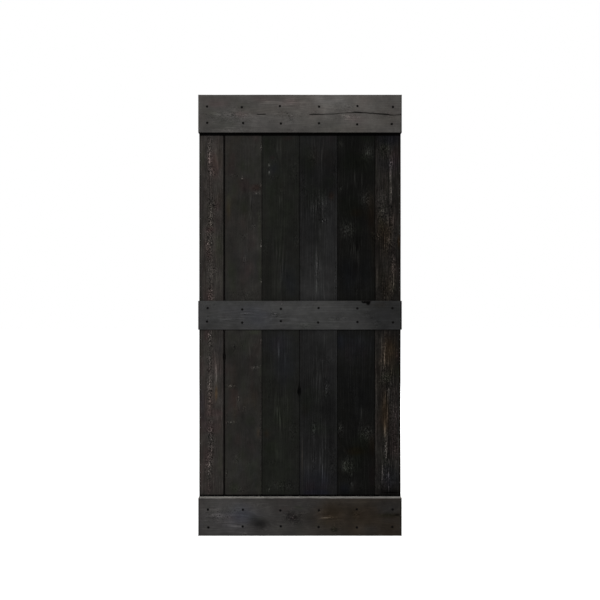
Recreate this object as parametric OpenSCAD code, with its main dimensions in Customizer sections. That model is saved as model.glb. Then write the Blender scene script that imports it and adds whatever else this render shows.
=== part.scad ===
// Plank sliding-door slab: tongue-and-groove boards side by side, with a top,
// a middle and a bottom rail screwed across their front.
// Millimetres. X runs across the door, +Y to its back, +Z up. The origin is the
// middle of the bottom edge, halfway through the thickness.

/* [Boards] */
// Height of the door, which is the length of every board
door_h = 2134; // [1830:1:2440]
// Face width of each of the four full boards
board_w = 184; // [120:1:240]
// Face width of the narrower board ripped to fit at the left edge
left_edge_board_w = 122; // [70:1:184]
// Face width of the narrower board ripped to fit at the right edge
right_edge_board_w = 126; // [70:1:184]
// Thickness of the boards
board_t = 16; // [14:0.5:25]

/* [Tongue and groove] */
// Thickness of a tongue
tongue_t = 5; // [3:0.5:7]
// How far a tongue stands out of its board's edge
tongue_l = 7; // [4:0.5:10]
// Gap on each face of a tongue in its groove
tongue_play = 0.2; // [0.1:0.05:0.5]
// Gap between a tongue's tip and the bottom of its groove
tongue_tip_play = 0.6; // [0.3:0.1:2]
// Gap between the edges of two boards, for the wood to swell into
board_gap = 1; // [0.3:0.1:3]
// Bevel of the V-joint along the front of each joint
v_bevel = 2.5; // [0.5:0.1:4]
// Broken edge along the back of the boards and the door's side edges
board_arris = 1; // [0.3:0.1:2]

/* [Rails] */
// Thickness of the rails
rail_t = 19; // [15:0.5:25]
// Height of the top rail
top_rail_h = 184; // [140:1:240]
// Height of the middle rail
middle_rail_h = 140; // [110:1:240]
// Height of the bottom rail
bottom_rail_h = 184; // [140:1:240]
// How far the middle rail's centre lies above the middle of the door
middle_rail_lift = 0; // [-200:1:200]
// How far the rails stop short of the boards at each side edge
rail_reveal = 0; // [0:0.5:5]
// Broken edge along the rails
rail_arris = 1.5; // [0.5:0.1:3]

/* [Screws] */
// Wood left between a screw's point and the door's back
tip_cover = 2.6; // [1:0.1:6]
// Outer diameter of the thread
screw_d = 4.2; // [3.5:0.1:5]
// Diameter of the countersunk head
head_d = 9.5; // [7:0.1:11]
// Cone angle of the head
head_angle = 82; // [80:1:100]
// Straight rim of the head above its cone
head_rim = 0.4; // [0.2:0.1:0.8]
// How deep the heads are sunk below the rail's face
head_sunk = 1.2; // [0:0.1:2]
// Length of the screw's point
point_l = 6; // [4:0.5:10]
// Diameter of the blunt tip of the point
tip_d = 0.6; // [0.3:0.1:1.2]
// Width of the cross slots in the head
slot_w = 1.2; // [0.8:0.1:1.5]
// Length of the cross slots in the head
slot_l = 5.2; // [3:0.1:6]
// Depth of the cross slots
slot_deep = 1.8; // [1:0.1:2.5]
// Gap all round a screw in its hole
screw_play = 0.1; // [0.05:0.05:0.3]
// From the door's side edge to the screws in an edge board
edge_screw_in = 46; // [25:1:60]
// From a wide rail's upper edge to its upper row of screws
upper_row_in = 59; // [25:1:60]
// From a wide rail's lower edge to its lower row of screws
lower_row_in = 44; // [25:1:55]
// From the middle rail's edges to its two rows of screws
middle_row_in = 38; // [25:1:45]
// How far a hand-drilled hole may stray from its mark
stray = 4; // [0:0.5:5]
// Which set of stray marks is used
stray_seed = 11; // [1:1:99]

/* [Hidden] */

$fn = 48;
// Overlap of a cutting tool past the face that it cuts
past = 1;

full_boards = 4;
last_board = full_boards + 1;
door_w = full_boards * board_w + left_edge_board_w + right_edge_board_w;
door_t = board_t + rail_t;
// Front face of the rails and front face of the boards
front_y = -door_t / 2;
board_y = front_y + rail_t;
rail_w = door_w - 2 * rail_reveal;
groove_deep = tongue_l - board_gap + tongue_tip_play;
// Length of a screw, head included
screw_l = door_t - head_sunk - tip_cover;

top_rail_z = door_h - top_rail_h;
middle_rail_z = (door_h - middle_rail_h) / 2 + middle_rail_lift;

board_black = [0.13, 0.12, 0.11];
edge_board_brown = [0.19, 0.17, 0.16];
rail_charcoal = [0.27, 0.26, 0.25];
screw_black = [0.04, 0.04, 0.04];

// Boards are counted from 0 at the left edge, seen from the front.
function at_side(i) = i == 0 || i == last_board;
function face_w(i) = i == 0 ? left_edge_board_w : i == last_board ? right_edge_board_w : board_w;
function face_x(i) = i == 0 ? -door_w / 2 : -door_w / 2 + left_edge_board_w + (i - 1) * board_w;

// Screws stand in one column for each board and two rows for each rail.
function column_x(i) =
    i == 0 ? -door_w / 2 + edge_screw_in
    : i == last_board ? door_w / 2 - edge_screw_in
    : face_x(i) + board_w / 2;
function strays(rail) = rands(-stray, stray, 4 * (last_board + 1), stray_seed + rail);

// Each rail's number, its rows' heights, and the [x, z] of its screws
TOP = 0;
MIDDLE = 1;
BOTTOM = 2;
function row_z(rail, row) =
    rail == TOP ? (row == 0 ? door_h - upper_row_in : top_rail_z + lower_row_in)
    : rail == MIDDLE ? middle_rail_z + (row == 0 ? middle_rail_h - middle_row_in : middle_row_in)
    : (row == 0 ? bottom_rail_h - upper_row_in : lower_row_in);
function screw_marks(rail) =
    let (s = strays(rail))
    [for (i = [0:last_board], row = [0, 1])
        [column_x(i) + s[4 * i + 2 * row], row_z(rail, row) + s[4 * i + 2 * row + 1]]];

// Outline of a board across its length: x from its left face edge, y from its front.
// A grooved or tongued edge stands back by half the gap and has the V-joint's bevel.
module board_outline(w, grooved, tongued) {
    left = grooved ? board_gap / 2 : 0;
    right = w - (tongued ? board_gap / 2 : 0);
    left_bevel = grooved ? v_bevel : board_arris;
    right_bevel = tongued ? v_bevel : board_arris;
    tongue_y = (board_t - tongue_t) / 2;
    difference() {
        union() {
            polygon([
                [left + left_bevel, 0], [right - right_bevel, 0],
                [right, right_bevel], [right, board_t - board_arris],
                [right - board_arris, board_t], [left + board_arris, board_t],
                [left, board_t - board_arris], [left, left_bevel],
            ]);
            if (tongued)
                translate([right - past, tongue_y]) square([tongue_l + past, tongue_t]);
        }
        if (grooved)
            translate([left - past, tongue_y - tongue_play])
                square([groove_deep + past, tongue_t + 2 * tongue_play]);
    }
}

// A screw's outline of revolution, grown all round by play. The axis is Z, with the
// top of the head at 0 and the point down.
module screw_outline(play) {
    head_r = head_d / 2;
    shank_r = screw_d / 2;
    cone_h = (head_r - shank_r) / tan(head_angle / 2);
    rim_z = -head_rim - play;
    neck_z = rim_z - cone_h;
    polygon([
        [0, 0], [head_r + play, 0], [head_r + play, rim_z], [shank_r + play, neck_z],
        [shank_r + play, point_l - screw_l], [tip_d / 2 + play, -screw_l - play],
        [0, -screw_l - play],
    ]);
}

// Stands its children at a mark on a rail, with +Z towards the front.
module at_mark(mark) {
    translate([mark[0], front_y + head_sunk, mark[1]]) rotate([90, 0, 0]) children();
}

module screw() {
    difference() {
        rotate_extrude() screw_outline(0);
        for (turn = [0, 90])
            rotate([0, 0, turn])
                translate([-slot_l / 2, -slot_w / 2, -slot_deep])
                    cube([slot_l, slot_w, slot_deep + past]);
    }
}

module screw_hole() {
    rotate_extrude() screw_outline(screw_play);
    cylinder(h = head_sunk + past, d = head_d + 2 * screw_play);
}

module screw_holes(rail, columns = [0:last_board]) {
    marks = screw_marks(rail);
    for (i = columns, row = [0, 1]) at_mark(marks[2 * i + row]) screw_hole();
}

module board(i) {
    color(at_side(i) ? edge_board_brown : board_black)
        difference() {
            translate([face_x(i), board_y, 0])
                linear_extrude(door_h)
                    board_outline(face_w(i), grooved = i > 0, tongued = i < last_board);
            for (rail = [TOP, MIDDLE, BOTTOM]) screw_holes(rail, [i]);
        }
}

// A rail of height h with its lower edge at z.
module rail(number, z, h) {
    color(rail_charcoal)
        difference() {
            translate([-rail_w / 2, front_y, z])
                rotate([90, 0, 90])
                    linear_extrude(rail_w)
                        polygon([
                            [rail_arris, 0], [rail_t - rail_arris, 0],
                            [rail_t, rail_arris], [rail_t, h - rail_arris],
                            [rail_t - rail_arris, h], [rail_arris, h],
                            [0, h - rail_arris], [0, rail_arris],
                        ]);
            screw_holes(number);
        }
}

module rail_screws(number) {
    color(screw_black)
        for (mark = screw_marks(number)) at_mark(mark) screw();
}

board(0);  // left_edge_board
board(1);  // left_outer_board
board(2);  // left_inner_board
board(3);  // right_inner_board
board(4);  // right_outer_board
board(5);  // right_edge_board
rail(TOP, top_rail_z, top_rail_h);  // top_rail
rail(MIDDLE, middle_rail_z, middle_rail_h);  // middle_rail
rail(BOTTOM, 0, bottom_rail_h);  // bottom_rail
rail_screws(TOP);  // top_rail_screws
rail_screws(MIDDLE);  // middle_rail_screws
rail_screws(BOTTOM);  // bottom_rail_screws
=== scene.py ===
# %% [markdown]
# # A plank door in black stain
# This lesson dresses a sliding door made of six tongue-and-groove boards and three rails.
# The door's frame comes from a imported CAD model, so every size and place is already settled.
# Blender's work is the wood itself: growth rings, knots, worn edges, a check that has opened
# in the top rail, and a stain that went on unevenly and has been rubbed back by hands.

# %% Load the frame
import math

import bpy
import numpy as np
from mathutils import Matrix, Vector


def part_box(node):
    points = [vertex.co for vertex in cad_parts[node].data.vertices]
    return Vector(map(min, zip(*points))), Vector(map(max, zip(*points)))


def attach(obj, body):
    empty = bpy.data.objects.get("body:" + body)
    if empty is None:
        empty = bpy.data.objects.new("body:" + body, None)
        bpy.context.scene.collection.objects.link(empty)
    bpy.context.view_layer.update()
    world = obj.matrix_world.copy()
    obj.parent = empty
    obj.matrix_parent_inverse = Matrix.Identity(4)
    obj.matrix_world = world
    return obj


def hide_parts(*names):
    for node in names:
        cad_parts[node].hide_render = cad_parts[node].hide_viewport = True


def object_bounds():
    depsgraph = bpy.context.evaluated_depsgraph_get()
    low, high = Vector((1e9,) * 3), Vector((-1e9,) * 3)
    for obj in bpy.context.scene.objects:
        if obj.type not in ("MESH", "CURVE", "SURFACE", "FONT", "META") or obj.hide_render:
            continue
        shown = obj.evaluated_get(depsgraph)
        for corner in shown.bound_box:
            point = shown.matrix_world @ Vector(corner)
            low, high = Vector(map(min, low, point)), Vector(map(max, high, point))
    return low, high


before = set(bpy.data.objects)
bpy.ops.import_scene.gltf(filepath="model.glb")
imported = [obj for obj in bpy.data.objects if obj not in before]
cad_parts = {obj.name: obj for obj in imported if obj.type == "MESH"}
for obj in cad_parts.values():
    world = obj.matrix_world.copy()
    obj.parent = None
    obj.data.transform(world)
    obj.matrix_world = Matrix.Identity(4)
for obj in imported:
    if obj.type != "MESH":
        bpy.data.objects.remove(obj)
CAD_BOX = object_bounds()
DOOR_LOW, DOOR_HIGH = CAD_BOX
MM = 0.001
print("door", [round((DOOR_HIGH[k] - DOOR_LOW[k]) / MM) for k in range(3)], "mm")

# %% [markdown]
# ## The camera
# The door is seen straight on, from a little above its middle. A door this tall seen from two
# metres shows the underside of its top rail and the upper edge of its bottom rail, and that is
# what tells the eye that the rails stand proud. So the lens is wide and the camera is near,
# where a long lens from far off would flatten both away.

# %% Camera
EYE_AWAY = 2.0
EYE_HEIGHT = 1.141
# How wide a strip is in view at the door's front
VIEW_WIDTH = 2.900

camera_data = bpy.data.cameras.new("camera")
camera_data.lens = camera_data.sensor_width * EYE_AWAY / VIEW_WIDTH
camera = bpy.data.objects.new("camera", camera_data)
camera.location = (0, DOOR_LOW[1] - EYE_AWAY, EYE_HEIGHT)
camera.rotation_euler = (math.radians(90), 0, 0)
bpy.context.scene.collection.objects.link(camera)
bpy.context.scene.camera = camera
print("lens", round(camera_data.lens, 1), "mm")

# %% [markdown]
# ## Soft noise
# Stain, wear and the wander of the grain are all slow random changes. Blender's noise texture
# would do for the colours, but the mesh needs the same numbers as the finish, so that a ring
# is a ridge exactly where it is also a line. So the noise is worked out in numpy: a table of
# random heights, with smooth curves drawn between neighbours.

# %% Noise
NOISE_CELLS = 256


def soft_noise(u, v, seed):
    """A random height from -1 to 1 at each whole (u, v), blended between the four nearest
    by the curve 3t^2 - 2t^3, which leaves no crease."""
    table = np.random.default_rng(seed).uniform(-1, 1, (NOISE_CELLS, NOISE_CELLS))
    u, v = np.broadcast_arrays(np.asarray(u, float), np.asarray(v, float))
    iu, iv = np.floor(u).astype(int), np.floor(v).astype(int)
    tu, tv = u - iu, v - iv
    tu, tv = tu * tu * (3 - 2 * tu), tv * tv * (3 - 2 * tv)

    def corner(du, dv):
        return table[(iu + du) % NOISE_CELLS, (iv + dv) % NOISE_CELLS]

    near = corner(0, 0) * (1 - tu) + corner(1, 0) * tu
    far = corner(0, 1) * (1 - tu) + corner(1, 1) * tu
    return near * (1 - tv) + far * tv


def layered_noise(u, v, seed, layers=3):
    """Soft noise plus the same at twice the pace and half the height, and so on."""
    return sum(soft_noise(u * 2**k, v * 2**k, seed + k) / 2**k for k in range(layers))


def drift(a, l, across, along, seed, layers=3):
    """Layered noise on a plank, whose broadest waves are across and along millimetres long."""
    return layered_noise(a / (across * MM), l / (along * MM), seed, layers)


# Each slow change of the wood or its finish: how strong, how many millimetres its waves are
# across and along, which noise it is and how many layers it has
WANDERS = {
    "warm": (0.25, 50, 130, 11, 3), "green": (0.45, 45, 80, 12, 3),
    "broad tone": (0.17, 70, 160, 21, 2), "fine tone": (0.06, 12, 90, 22, 2),
    "rub": (0.16, 35, 200, 31, 3), "fleck": (0.30, 30, 60, 33, 3),
    "planed": (0.50, 45, 140, 41, 1), "chewed edge": (1.00, 10, 40, 42, 3),
    "worn edge": (0.30, 20, 90, 43, 1), "rubbed edge": (0.30, 10, 50, 51, 3),
    "settled dustlight": (0.35, 50, 8, 52, 3),
}


def wander(name, a, l, seed, above=None):
    """Strength times the drift, or times only what of it rises above a height."""
    strength, across, along, noise_number, layers = WANDERS[name]
    height = drift(a, l, across, along, seed + noise_number, layers)
    return strength * (height if above is None else np.clip(height - above, 0, 1))


def smooth(x):
    """0 below nought, 1 above one, and a smooth step between."""
    x = np.clip(x, 0, 1)
    return x * x * (3 - 2 * x)


print("noise spread", round(float(np.std(layered_noise(np.arange(500) / 7, 0.0, 1))), 2))

# %% [markdown]
# ## What each plank is like
# Every plank was cut from its own tree, so each has a short description: the colour of its
# stain, where the heart of the tree lay behind its face, and its marks. Places are measured on
# the plank itself, in millimetres: `a` across the grain from its left or lower edge, `l` along
# the grain from its lower or left end.
#
# - `heart`: where the tree's middle lay, as (a, depth behind the face), and `dive`, how far it
#   moves nearer and further along the plank. A heart that comes near the face makes the nested
#   arrowheads of flat-sawn boards, and a shallow one that hardly moves makes straight lines.
# - `ring`: the width of a growth ring.
# - `stain` and `pale`: the colour of the stain, and of the wood where it is worn through. The
#   rails' stains lighten from the bottom rail to the top one, partly as painted light from above.
# - `grain`: how strongly the grain shows through the stain, and `mottle`, how strongly the
#   stain's tint drifts.
# - `joints`: how dirty a board is along its left and right edge, or a rail at its two ends.
# - `knots`: (a, l, radius, darkness).
# - Most of the rest are soft oval patches (a, l, half width, half length, strength). `rubbed` is
#   where the hard lines of the grain are worn pale, and `flecked` where the surface is torn into
#   short pale and dark flecks. In `warm`, brown shows through, or blue with a minus sign. In
#   `green`, it is green, or pink with a minus sign, and `base_warm` and `base_green` are the
#   same all over the plank. `tone` is lighter or darker, in stops, each a doubling, and `sooty`
#   is where soot and dirt sit.
# - `fibres`: single fibres worn pale, (a, l, half length, stops).
# - `settled`: how much dust lies on a rail's upper edge, as dust and as painted light from above.

# %% Plank descriptions
PLANKS = {
    "left_edge_board": dict(
        stain=(0.0278, 0.0250, 0.0227), pale=(0.080, 0.068, 0.059),
        heart=(54, -4), dive=13, ring=4.6, grain=0.95, mottle=1.3, joints=(1.3, 0.9),
        base_warm=0, base_green=-0.15,
        knots=[(100, 560, 6, 0.4), (22, 1300, 5, 0.4)],
        flecked=[
            (51, 1860, 9, 80, 1.9), (62, 1765, 16, 24, 1.25), (64, 1600, 20, 28, 1.5),
            (56, 1535, 12, 42, 2.12), (45, 1420, 14, 80, 1.88), (70, 1285, 20, 22, 1.12),
            (57, 1165, 12, 40, 1.88), (52, 965, 10, 40, 1.62), (50, 700, 9, 110, 1.5),
            (55, 500, 14, 34, 1.5), (60, 430, 13, 42, 1.88), (47, 330, 14, 65, 1.75),
            (52, 220, 6, 30, 1.5), (54, 1000, 16, 1000, 0.75)],
        rubbed=[
            (52, 1840, 6, 50, 1.2), (80, 1850, 8, 90, 0.8), (57, 1540, 12, 40, 1), (80, 780, 6, 80, 1.6),
            (51, 700, 6, 30, 1.8), (52, 483, 6, 12, 2), (60, 1300, 50, 900, 0.3)],
        warm=[
            (84, 685, 6, 30, 1.8), (70, 720, 30, 90, 0.4), (100, 1640, 30, 60, 0.5),
            (20, 640, 20, 120, -0.6)],
        green=[
            (75, 1810, 22, 80, -1), (50, 1485, 30, 16, -1.5), (38, 965, 18, 40, -1.6),
            (70, 590, 40, 12, -1.6), (100, 330, 20, 80, 1.2), (98, 1410, 22, 70, 1),
            (18, 1800, 20, 120, 0.9), (35, 360, 18, 60, -1.1), (57, 1165, 30, 40, -0.9),
            (30, 1420, 20, 50, -0.8), (60, 510, 60, 30, -0.9), (60, 820, 60, 60, -0.5),
            (60, 620, 80, 240, -0.35)],
        tone=[
            (52, 1835, 4, 30, 0.8), (55, 1540, 5, 50, 0.6), (80, 1840, 10, 100, 0.5),
            (95, 1245, 18, 30, 0.35), (25, 1440, 20, 60, 0.25), (80, 760, 8, 80, 0.6),
            (84, 685, 5, 25, 0.6), (95, 575, 18, 18, 0.35), (10, 1000, 20, 300, -0.2),
            (100, 1410, 22, 70, -0.12), (30, 1620, 25, 50, -0.15), (60, 900, 60, 40, -0.1),
            (110, 1560, 12, 120, -0.25), (60, 600, 100, 400, 0.08), (60, 1875, 21, 46, 0.57),
            (80, 1700, 35, 60, 0.32), (18, 1640, 22, 100, -0.28), (60, 1520, 24, 50, -0.5),
            (95, 1360, 24, 45, -0.26), (80, 950, 40, 40, -0.32), (20, 860, 22, 40, 0.24),
            (102, 650, 22, 60, 0.22), (40, 420, 35, 40, -0.3),
            (20, 1550, 20, 30, -0.16), (25, 1460, 18, 30, 0.2), (20, 240, 22, 30, 0.18)],
        fibres=[],
        sooty=[(47, 282, 5, 10, 0.5), (120, 862, 4, 14, 1.2)]),
    "left_outer_board": dict(
        stain=(0.0196, 0.0186, 0.0169), pale=(0.062, 0.058, 0.052),
        heart=(150, -60), dive=20, ring=6.2, grain=0.2, mottle=1.5, joints=(1, 0.2),
        base_warm=0, base_green=0,
        knots=[
            (52, 722, 8, 0.5), (149, 806, 10, 0.1), (91, 569, 8, 0.5), (100, 1680, 7, 0.6),
            (22, 540, 8, 0.3)],
        flecked=[
            (158, 1664, 26, 5, 2.4), (155, 1690, 20, 18, 1), (180, 1885, 5, 20, 2.6),
            (180, 1705, 5, 12, 2.4), (180, 1415, 5, 22, 2.4), (180, 1232, 5, 14, 2.4),
            (180, 942, 5, 10, 2.4), (87, 1735, 5, 10, 2.2), (48, 1750, 20, 6, 1.8), (45, 1800, 20, 6, 1),
            (160, 817, 22, 4, 2.2), (142, 806, 9, 10, 1.8), (34, 720, 24, 5, 3.6), (30, 542, 22, 6, 2.6),
            (11, 584, 5, 6, 2.4), (97, 610, 8, 14, 1.8), (87, 920, 5, 7, 2.2), (50, 905, 12, 24, 1.2),
            (70, 660, 6, 24, 1.4), (60, 368, 16, 22, 1.2), (143, 1500, 10, 12, 1.2),
            (94, 1452, 14, 10, 1.3), (100, 1338, 10, 16, 1.1), (11, 295, 5, 18, 1.6),
            (80, 215, 35, 12, 1), (90, 1170, 80, 25, 0.5), (170, 1550, 8, 60, 0.7),
            (180, 500, 5, 300, 0.9)],
        rubbed=[
            (131, 1590, 6, 60, 0.9), (100, 1335, 8, 30, 1.2), (67, 660, 4, 22, 1.6),
            (77, 660, 4, 22, 1.4), (90, 1300, 60, 500, 0.12), (130, 880, 10, 35, 0.7)],
        warm=[
            (155, 1690, 22, 22, 0.7), (22, 1590, 14, 60, 0.8), (165, 495, 12, 35, 0.9),
            (100, 650, 80, 80, 0.2), (80, 300, 80, 60, -0.4)],
        green=[
            (155, 1690, 22, 18, -2), (20, 1590, 12, 70, 0.6), (100, 1380, 50, 130, -0.5),
            (30, 1800, 28, 50, -0.8), (100, 1715, 30, 30, -1.1), (150, 1930, 35, 25, -0.9),
            (90, 1800, 50, 45, 0.9), (105, 1600, 30, 50, 0.9), (30, 1280, 30, 100, 0.8),
            (172, 1480, 12, 250, 0.9), (150, 985, 35, 14, 2.2), (110, 920, 30, 45, 1.3),
            (80, 830, 60, 50, -0.3), (45, 640, 45, 90, -0.9), (115, 550, 45, 35, 1.1),
            (80, 450, 60, 45, -0.9), (30, 450, 16, 50, 0.9), (120, 320, 50, 50, 0.9),
            (50, 220, 35, 25, 1.3), (34, 720, 24, 10, 0.9)],
        tone=[
            (160, 1664, 24, 6, 1.2), (34, 722, 20, 5, 0.7), (155, 812, 22, 6, 0.8), (30, 545, 22, 6, 0.8),
            (125, 1590, 4, 60, 0.35), (110, 1300, 70, 200, 0.12), (22, 1590, 14, 60, 0.3),
            (100, 1600, 30, 50, -0.35), (90, 860, 60, 60, -0.15), (115, 550, 40, 40, -0.25),
            (150, 985, 35, 12, 0.45), (165, 495, 10, 35, 0.25), (100, 1715, 30, 30, -0.15),
            (40, 1400, 45, 240, -0.22), (155, 1900, 30, 50, 0.28), (155, 1460, 28, 45, 0.22),
            (155, 1200, 28, 40, 0.24), (31, 890, 35, 50, -0.38), (30, 630, 30, 60, 0.32),
            (153, 690, 28, 45, -0.34), (153, 510, 28, 30, 0.24), (50, 310, 60, 80, 0.32),
            (150, 370, 40, 50, 0.14), (92, 1850, 30, 80, 0.12), (60, 790, 60, 40, -0.22),
            (60, 1600, 60, 70, -0.14), (31, 870, 30, 30, -0.12), (31, 500, 30, 100, 0.14),
            (153, 1720, 26, 30, 0.18)],
        fibres=[
            (180, 1885, 12, 2), (180, 1705, 9, 1.9), (180, 1415, 14, 2), (180, 1232, 8, 1.9),
            (180, 942, 9, 1.7), (75, 640, 30, 0.5), (88, 1738, 7, 1.1)],
        sooty=[(3, 862, 4, 14, 1.2)]),
    "left_inner_board": dict(
        stain=(0.0112, 0.0113, 0.0101), pale=(0.044, 0.044, 0.038),
        heart=(88, -16), dive=6, ring=9, grain=0.34, mottle=0.9, joints=(0.3, 0.3),
        base_warm=0, base_green=0.05,
        knots=[(58, 1784, 12, 0.1), (170, 1050, 6, 0.3)],
        flecked=[
            (34, 1782, 6, 30, 1.4), (58, 1738, 20, 6, 1.6), (58, 1825, 18, 6, 1.2), (33, 215, 6, 8, 2.6),
            (155, 1780, 24, 60, 0.7), (165, 1430, 12, 60, 0.8), (20, 1400, 14, 50, 0.8),
            (150, 500, 20, 50, 0.8), (100, 235, 70, 24, 1), (50, 345, 40, 12, 0.8),
            (86, 1670, 30, 30, 0.5), (30, 740, 20, 30, 0.6)],
        rubbed=[
            (90, 1000, 40, 1000, 0.14), (88, 1880, 16, 70, 0.5), (76, 1600, 8, 45, 0.72),
            (98, 1625, 12, 25, 0.66), (66, 1530, 6, 40, 0.55), (86, 1350, 30, 100, 0.83),
            (83, 905, 14, 45, 0.44), (110, 880, 18, 60, 0.55), (84, 620, 26, 95, 0.88),
            (82, 385, 12, 40, 0.77)],
        warm=[
            (140, 1220, 50, 80, -1), (70, 930, 80, 70, -1.1), (110, 800, 70, 80, -1.1),
            (61, 1784, 30, 30, -0.8), (20, 490, 20, 25, 1)],
        green=[
            (90, 450, 100, 250, 0.8), (80, 1600, 90, 250, 0.6), (70, 930, 80, 70, -1),
            (130, 1930, 35, 14, -1.8), (28, 480, 20, 25, -1.2), (50, 1835, 16, 10, -2),
            (20, 1900, 20, 40, 0.8), (40, 425, 20, 20, 1.6)],
        tone=[
            (34.5, 1800, 4, 7, 2.5), (34.5, 1764, 4, 8, 2.5), (33, 213, 4, 7, 1.4),
            (60, 1800, 22, 26, 0.25), (81, 890, 4, 40, 0.7), (40, 1700, 40, 200, 0.1),
            (130, 1230, 55, 90, 0.12), (165, 700, 22, 60, -0.4), (20, 850, 25, 60, -0.2),
            (150, 1600, 40, 120, -0.14), (90, 1500, 90, 350, -0.08), (90, 500, 90, 300, 0.08),
            (110, 920, 60, 40, 0.15), (92, 1893, 27, 50, 0.4), (31, 1790, 32, 70, 0.24),
            (155, 1770, 28, 70, -0.26), (31, 1290, 35, 120, -0.26), (100, 1280, 30, 40, -0.16),
            (92, 780, 28, 40, 0.24), (31, 700, 28, 50, -0.22), (31, 510, 28, 35, 0.3),
            (60, 240, 53, 33, 0.52), (100, 1740, 25, 30, 0.15),
            (100, 840, 40, 50, 0.14), (140, 460, 35, 50, 0.15)],
        fibres=[
            (77, 1900, 50, 0.4), (91, 1880, 60, 0.4), (86, 1625, 50, 0.4), (97, 1640, 40, 0.4),
            (72, 1330, 90, 0.5), (87, 1340, 90, 0.5), (101, 1320, 70, 0.4), (113, 1290, 50, 0.3),
            (66, 650, 45, 0.6), (74, 600, 60, 0.5), (89, 610, 60, 0.5), (67, 400, 50, 0.45),
            (90, 380, 50, 0.4)],
        sooty=[(181, 700, 4, 22, 1.3), (176, 694, 4, 10, 1)]),
    "right_inner_board": dict(
        stain=(0.0114, 0.0113, 0.0113), pale=(0.048, 0.047, 0.046),
        heart=(95, -18), dive=6, ring=9.5, grain=0.46, mottle=0.8, joints=(0.2, 0),
        base_warm=-0.05, base_green=0,
        knots=[(132, 705, 11, 0)],
        flecked=[
            (70, 1840, 24, 40, 0.9), (100, 1620, 50, 60, 0.9), (132, 705, 14, 34, 1.5),
            (70, 510, 10, 40, 1.8), (85, 1290, 14, 60, 0.8), (70, 350, 10, 50, 1.2),
            (118, 1530, 20, 14, 1.8), (175, 1230, 6, 80, 0.9), (160, 350, 24, 100, 0.7),
            (130, 850, 40, 16, 1), (20, 1700, 14, 60, 0.9), (170, 1780, 14, 60, 0.8)],
        rubbed=[
            (90, 1000, 60, 1000, 0.12), (70, 1890, 10, 60, 0.6), (108, 1880, 6, 80, 0.8),
            (85, 1590, 55, 80, 1.05), (84, 1280, 12, 80, 1.1), (100, 760, 34, 110, 0.8),
            (50, 780, 30, 60, 0.45), (110, 380, 16, 160, 0.95), (150, 450, 20, 100, 0.6),
            (60, 380, 20, 120, 0.45), (182, 1520, 4, 120, 0.8), (182, 800, 4, 100, 0.7),
            (12, 350, 5, 150, 0.35)],
        warm=[
            (90, 260, 100, 70, -0.9), (85, 200, 60, 12, -1.6), (155, 1650, 18, 26, 1),
            (30, 600, 30, 50, 0.6), (12, 350, 6, 130, 0.9), (90, 1850, 90, 80, 0.4)],
        green=[
            (40, 1820, 40, 80, 1.1), (150, 1730, 30, 30, 0.9), (155, 1650, 18, 26, -1.8),
            (40, 640, 50, 70, 1.2), (90, 220, 100, 50, -0.7), (150, 1930, 30, 30, -0.9),
            (90, 1660, 80, 60, 0.7), (90, 510, 90, 40, 0.9), (90, 690, 90, 35, 0.6)],
        tone=[
            (150, 1780, 60, 90, -0.7), (32, 1800, 33, 56, -0.84), (150, 1690, 40, 50, -0.7),
            (55, 1720, 50, 85, -0.42), (150, 1400, 40, 120, 0.45), (100, 1180, 110, 120, 0.9),
            (82, 1300, 5, 70, 1.25), (99, 1290, 4, 40, 0.5), (70, 480, 4, 40, 0.6),
            (120, 970, 90, 60, 0.3), (140, 600, 50, 55, -0.8), (90, 450, 110, 200, -0.12),
            (40, 680, 45, 80, -0.35), (60, 1530, 40, 60, -0.15), (181, 1450, 5, 300, 0.7),
            (181, 700, 5, 350, 0.55), (80, 300, 100, 90, 0.2), (60, 1330, 55, 150, 0.3),
            (155, 860, 27, 38, 0.58), (31, 770, 28, 40, -0.2), (31, 590, 30, 40, -0.28),
            (155, 590, 28, 35, 0.2), (155, 510, 28, 35, -0.18), (63, 333, 60, 43, 0.64),
            (92, 430, 40, 35, 0.2), (155, 1350, 26, 50, -0.2), (50, 1900, 50, 35, 0.16),
            (31, 1650, 30, 40, -0.18),
            (155, 1450, 26, 40, -0.16), (40, 1190, 40, 30, 0.2),
            (155, 1720, 24, 40, 0.15)],
        fibres=[
            (107, 1870, 70, 0.55), (94, 1870, 70, 0.4), (96, 1640, 100, 0.5), (112, 1590, 70, 0.45),
            (124, 1590, 60, 0.4), (78, 1590, 60, 0.3), (83, 740, 100, 0.45), (95, 740, 110, 0.55),
            (110, 760, 110, 0.45), (100, 400, 150, 0.5), (114, 380, 160, 0.45), (128, 420, 120, 0.35),
            (12, 350, 130, 0.9)],
        sooty=[(2, 697, 4, 20, 1)]),
    "right_outer_board": dict(
        stain=(0.0049, 0.0049, 0.0045), pale=(0.030, 0.030, 0.026),
        heart=(100, -20), dive=6, ring=11.5, grain=0.48, mottle=0.9, joints=(0, 0),
        base_warm=0, base_green=0.05,
        knots=[
            (140, 1640, 18, 0.3), (49, 1485, 22, 0.3), (140, 492, 20, 0.2), (52, 337, 22, 0.3),
            (150, 1860, 16, 0.1)],
        flecked=[
            (146, 1860, 28, 36, 1.6), (20, 1905, 12, 14, 1.7), (140, 1640, 30, 36, 1.9),
            (15, 1684, 9, 14, 2.4), (49, 1485, 34, 38, 1.7), (178, 1452, 12, 30, 2.1),
            (140, 492, 34, 40, 1.7), (15, 510, 14, 35, 2.3), (52, 337, 36, 40, 1.7),
            (90, 1190, 20, 14, 0.8), (16, 1245, 10, 8, 1.6), (60, 260, 14, 30, 1), (110, 225, 12, 20, 1),
            (70, 700, 30, 50, 0.6), (185, 1600, 4, 200, 0.7)],
        rubbed=[
            (92, 1385, 30, 45, 1.2), (90, 1000, 50, 1000, 0.25), (140, 1640, 30, 36, 0.5),
            (49, 1485, 38, 42, 0.5), (140, 492, 36, 42, 0.5), (52, 337, 38, 42, 0.5),
            (70, 255, 12, 30, 1.6), (140, 1870, 30, 40, 0.8)],
        warm=[
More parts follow.
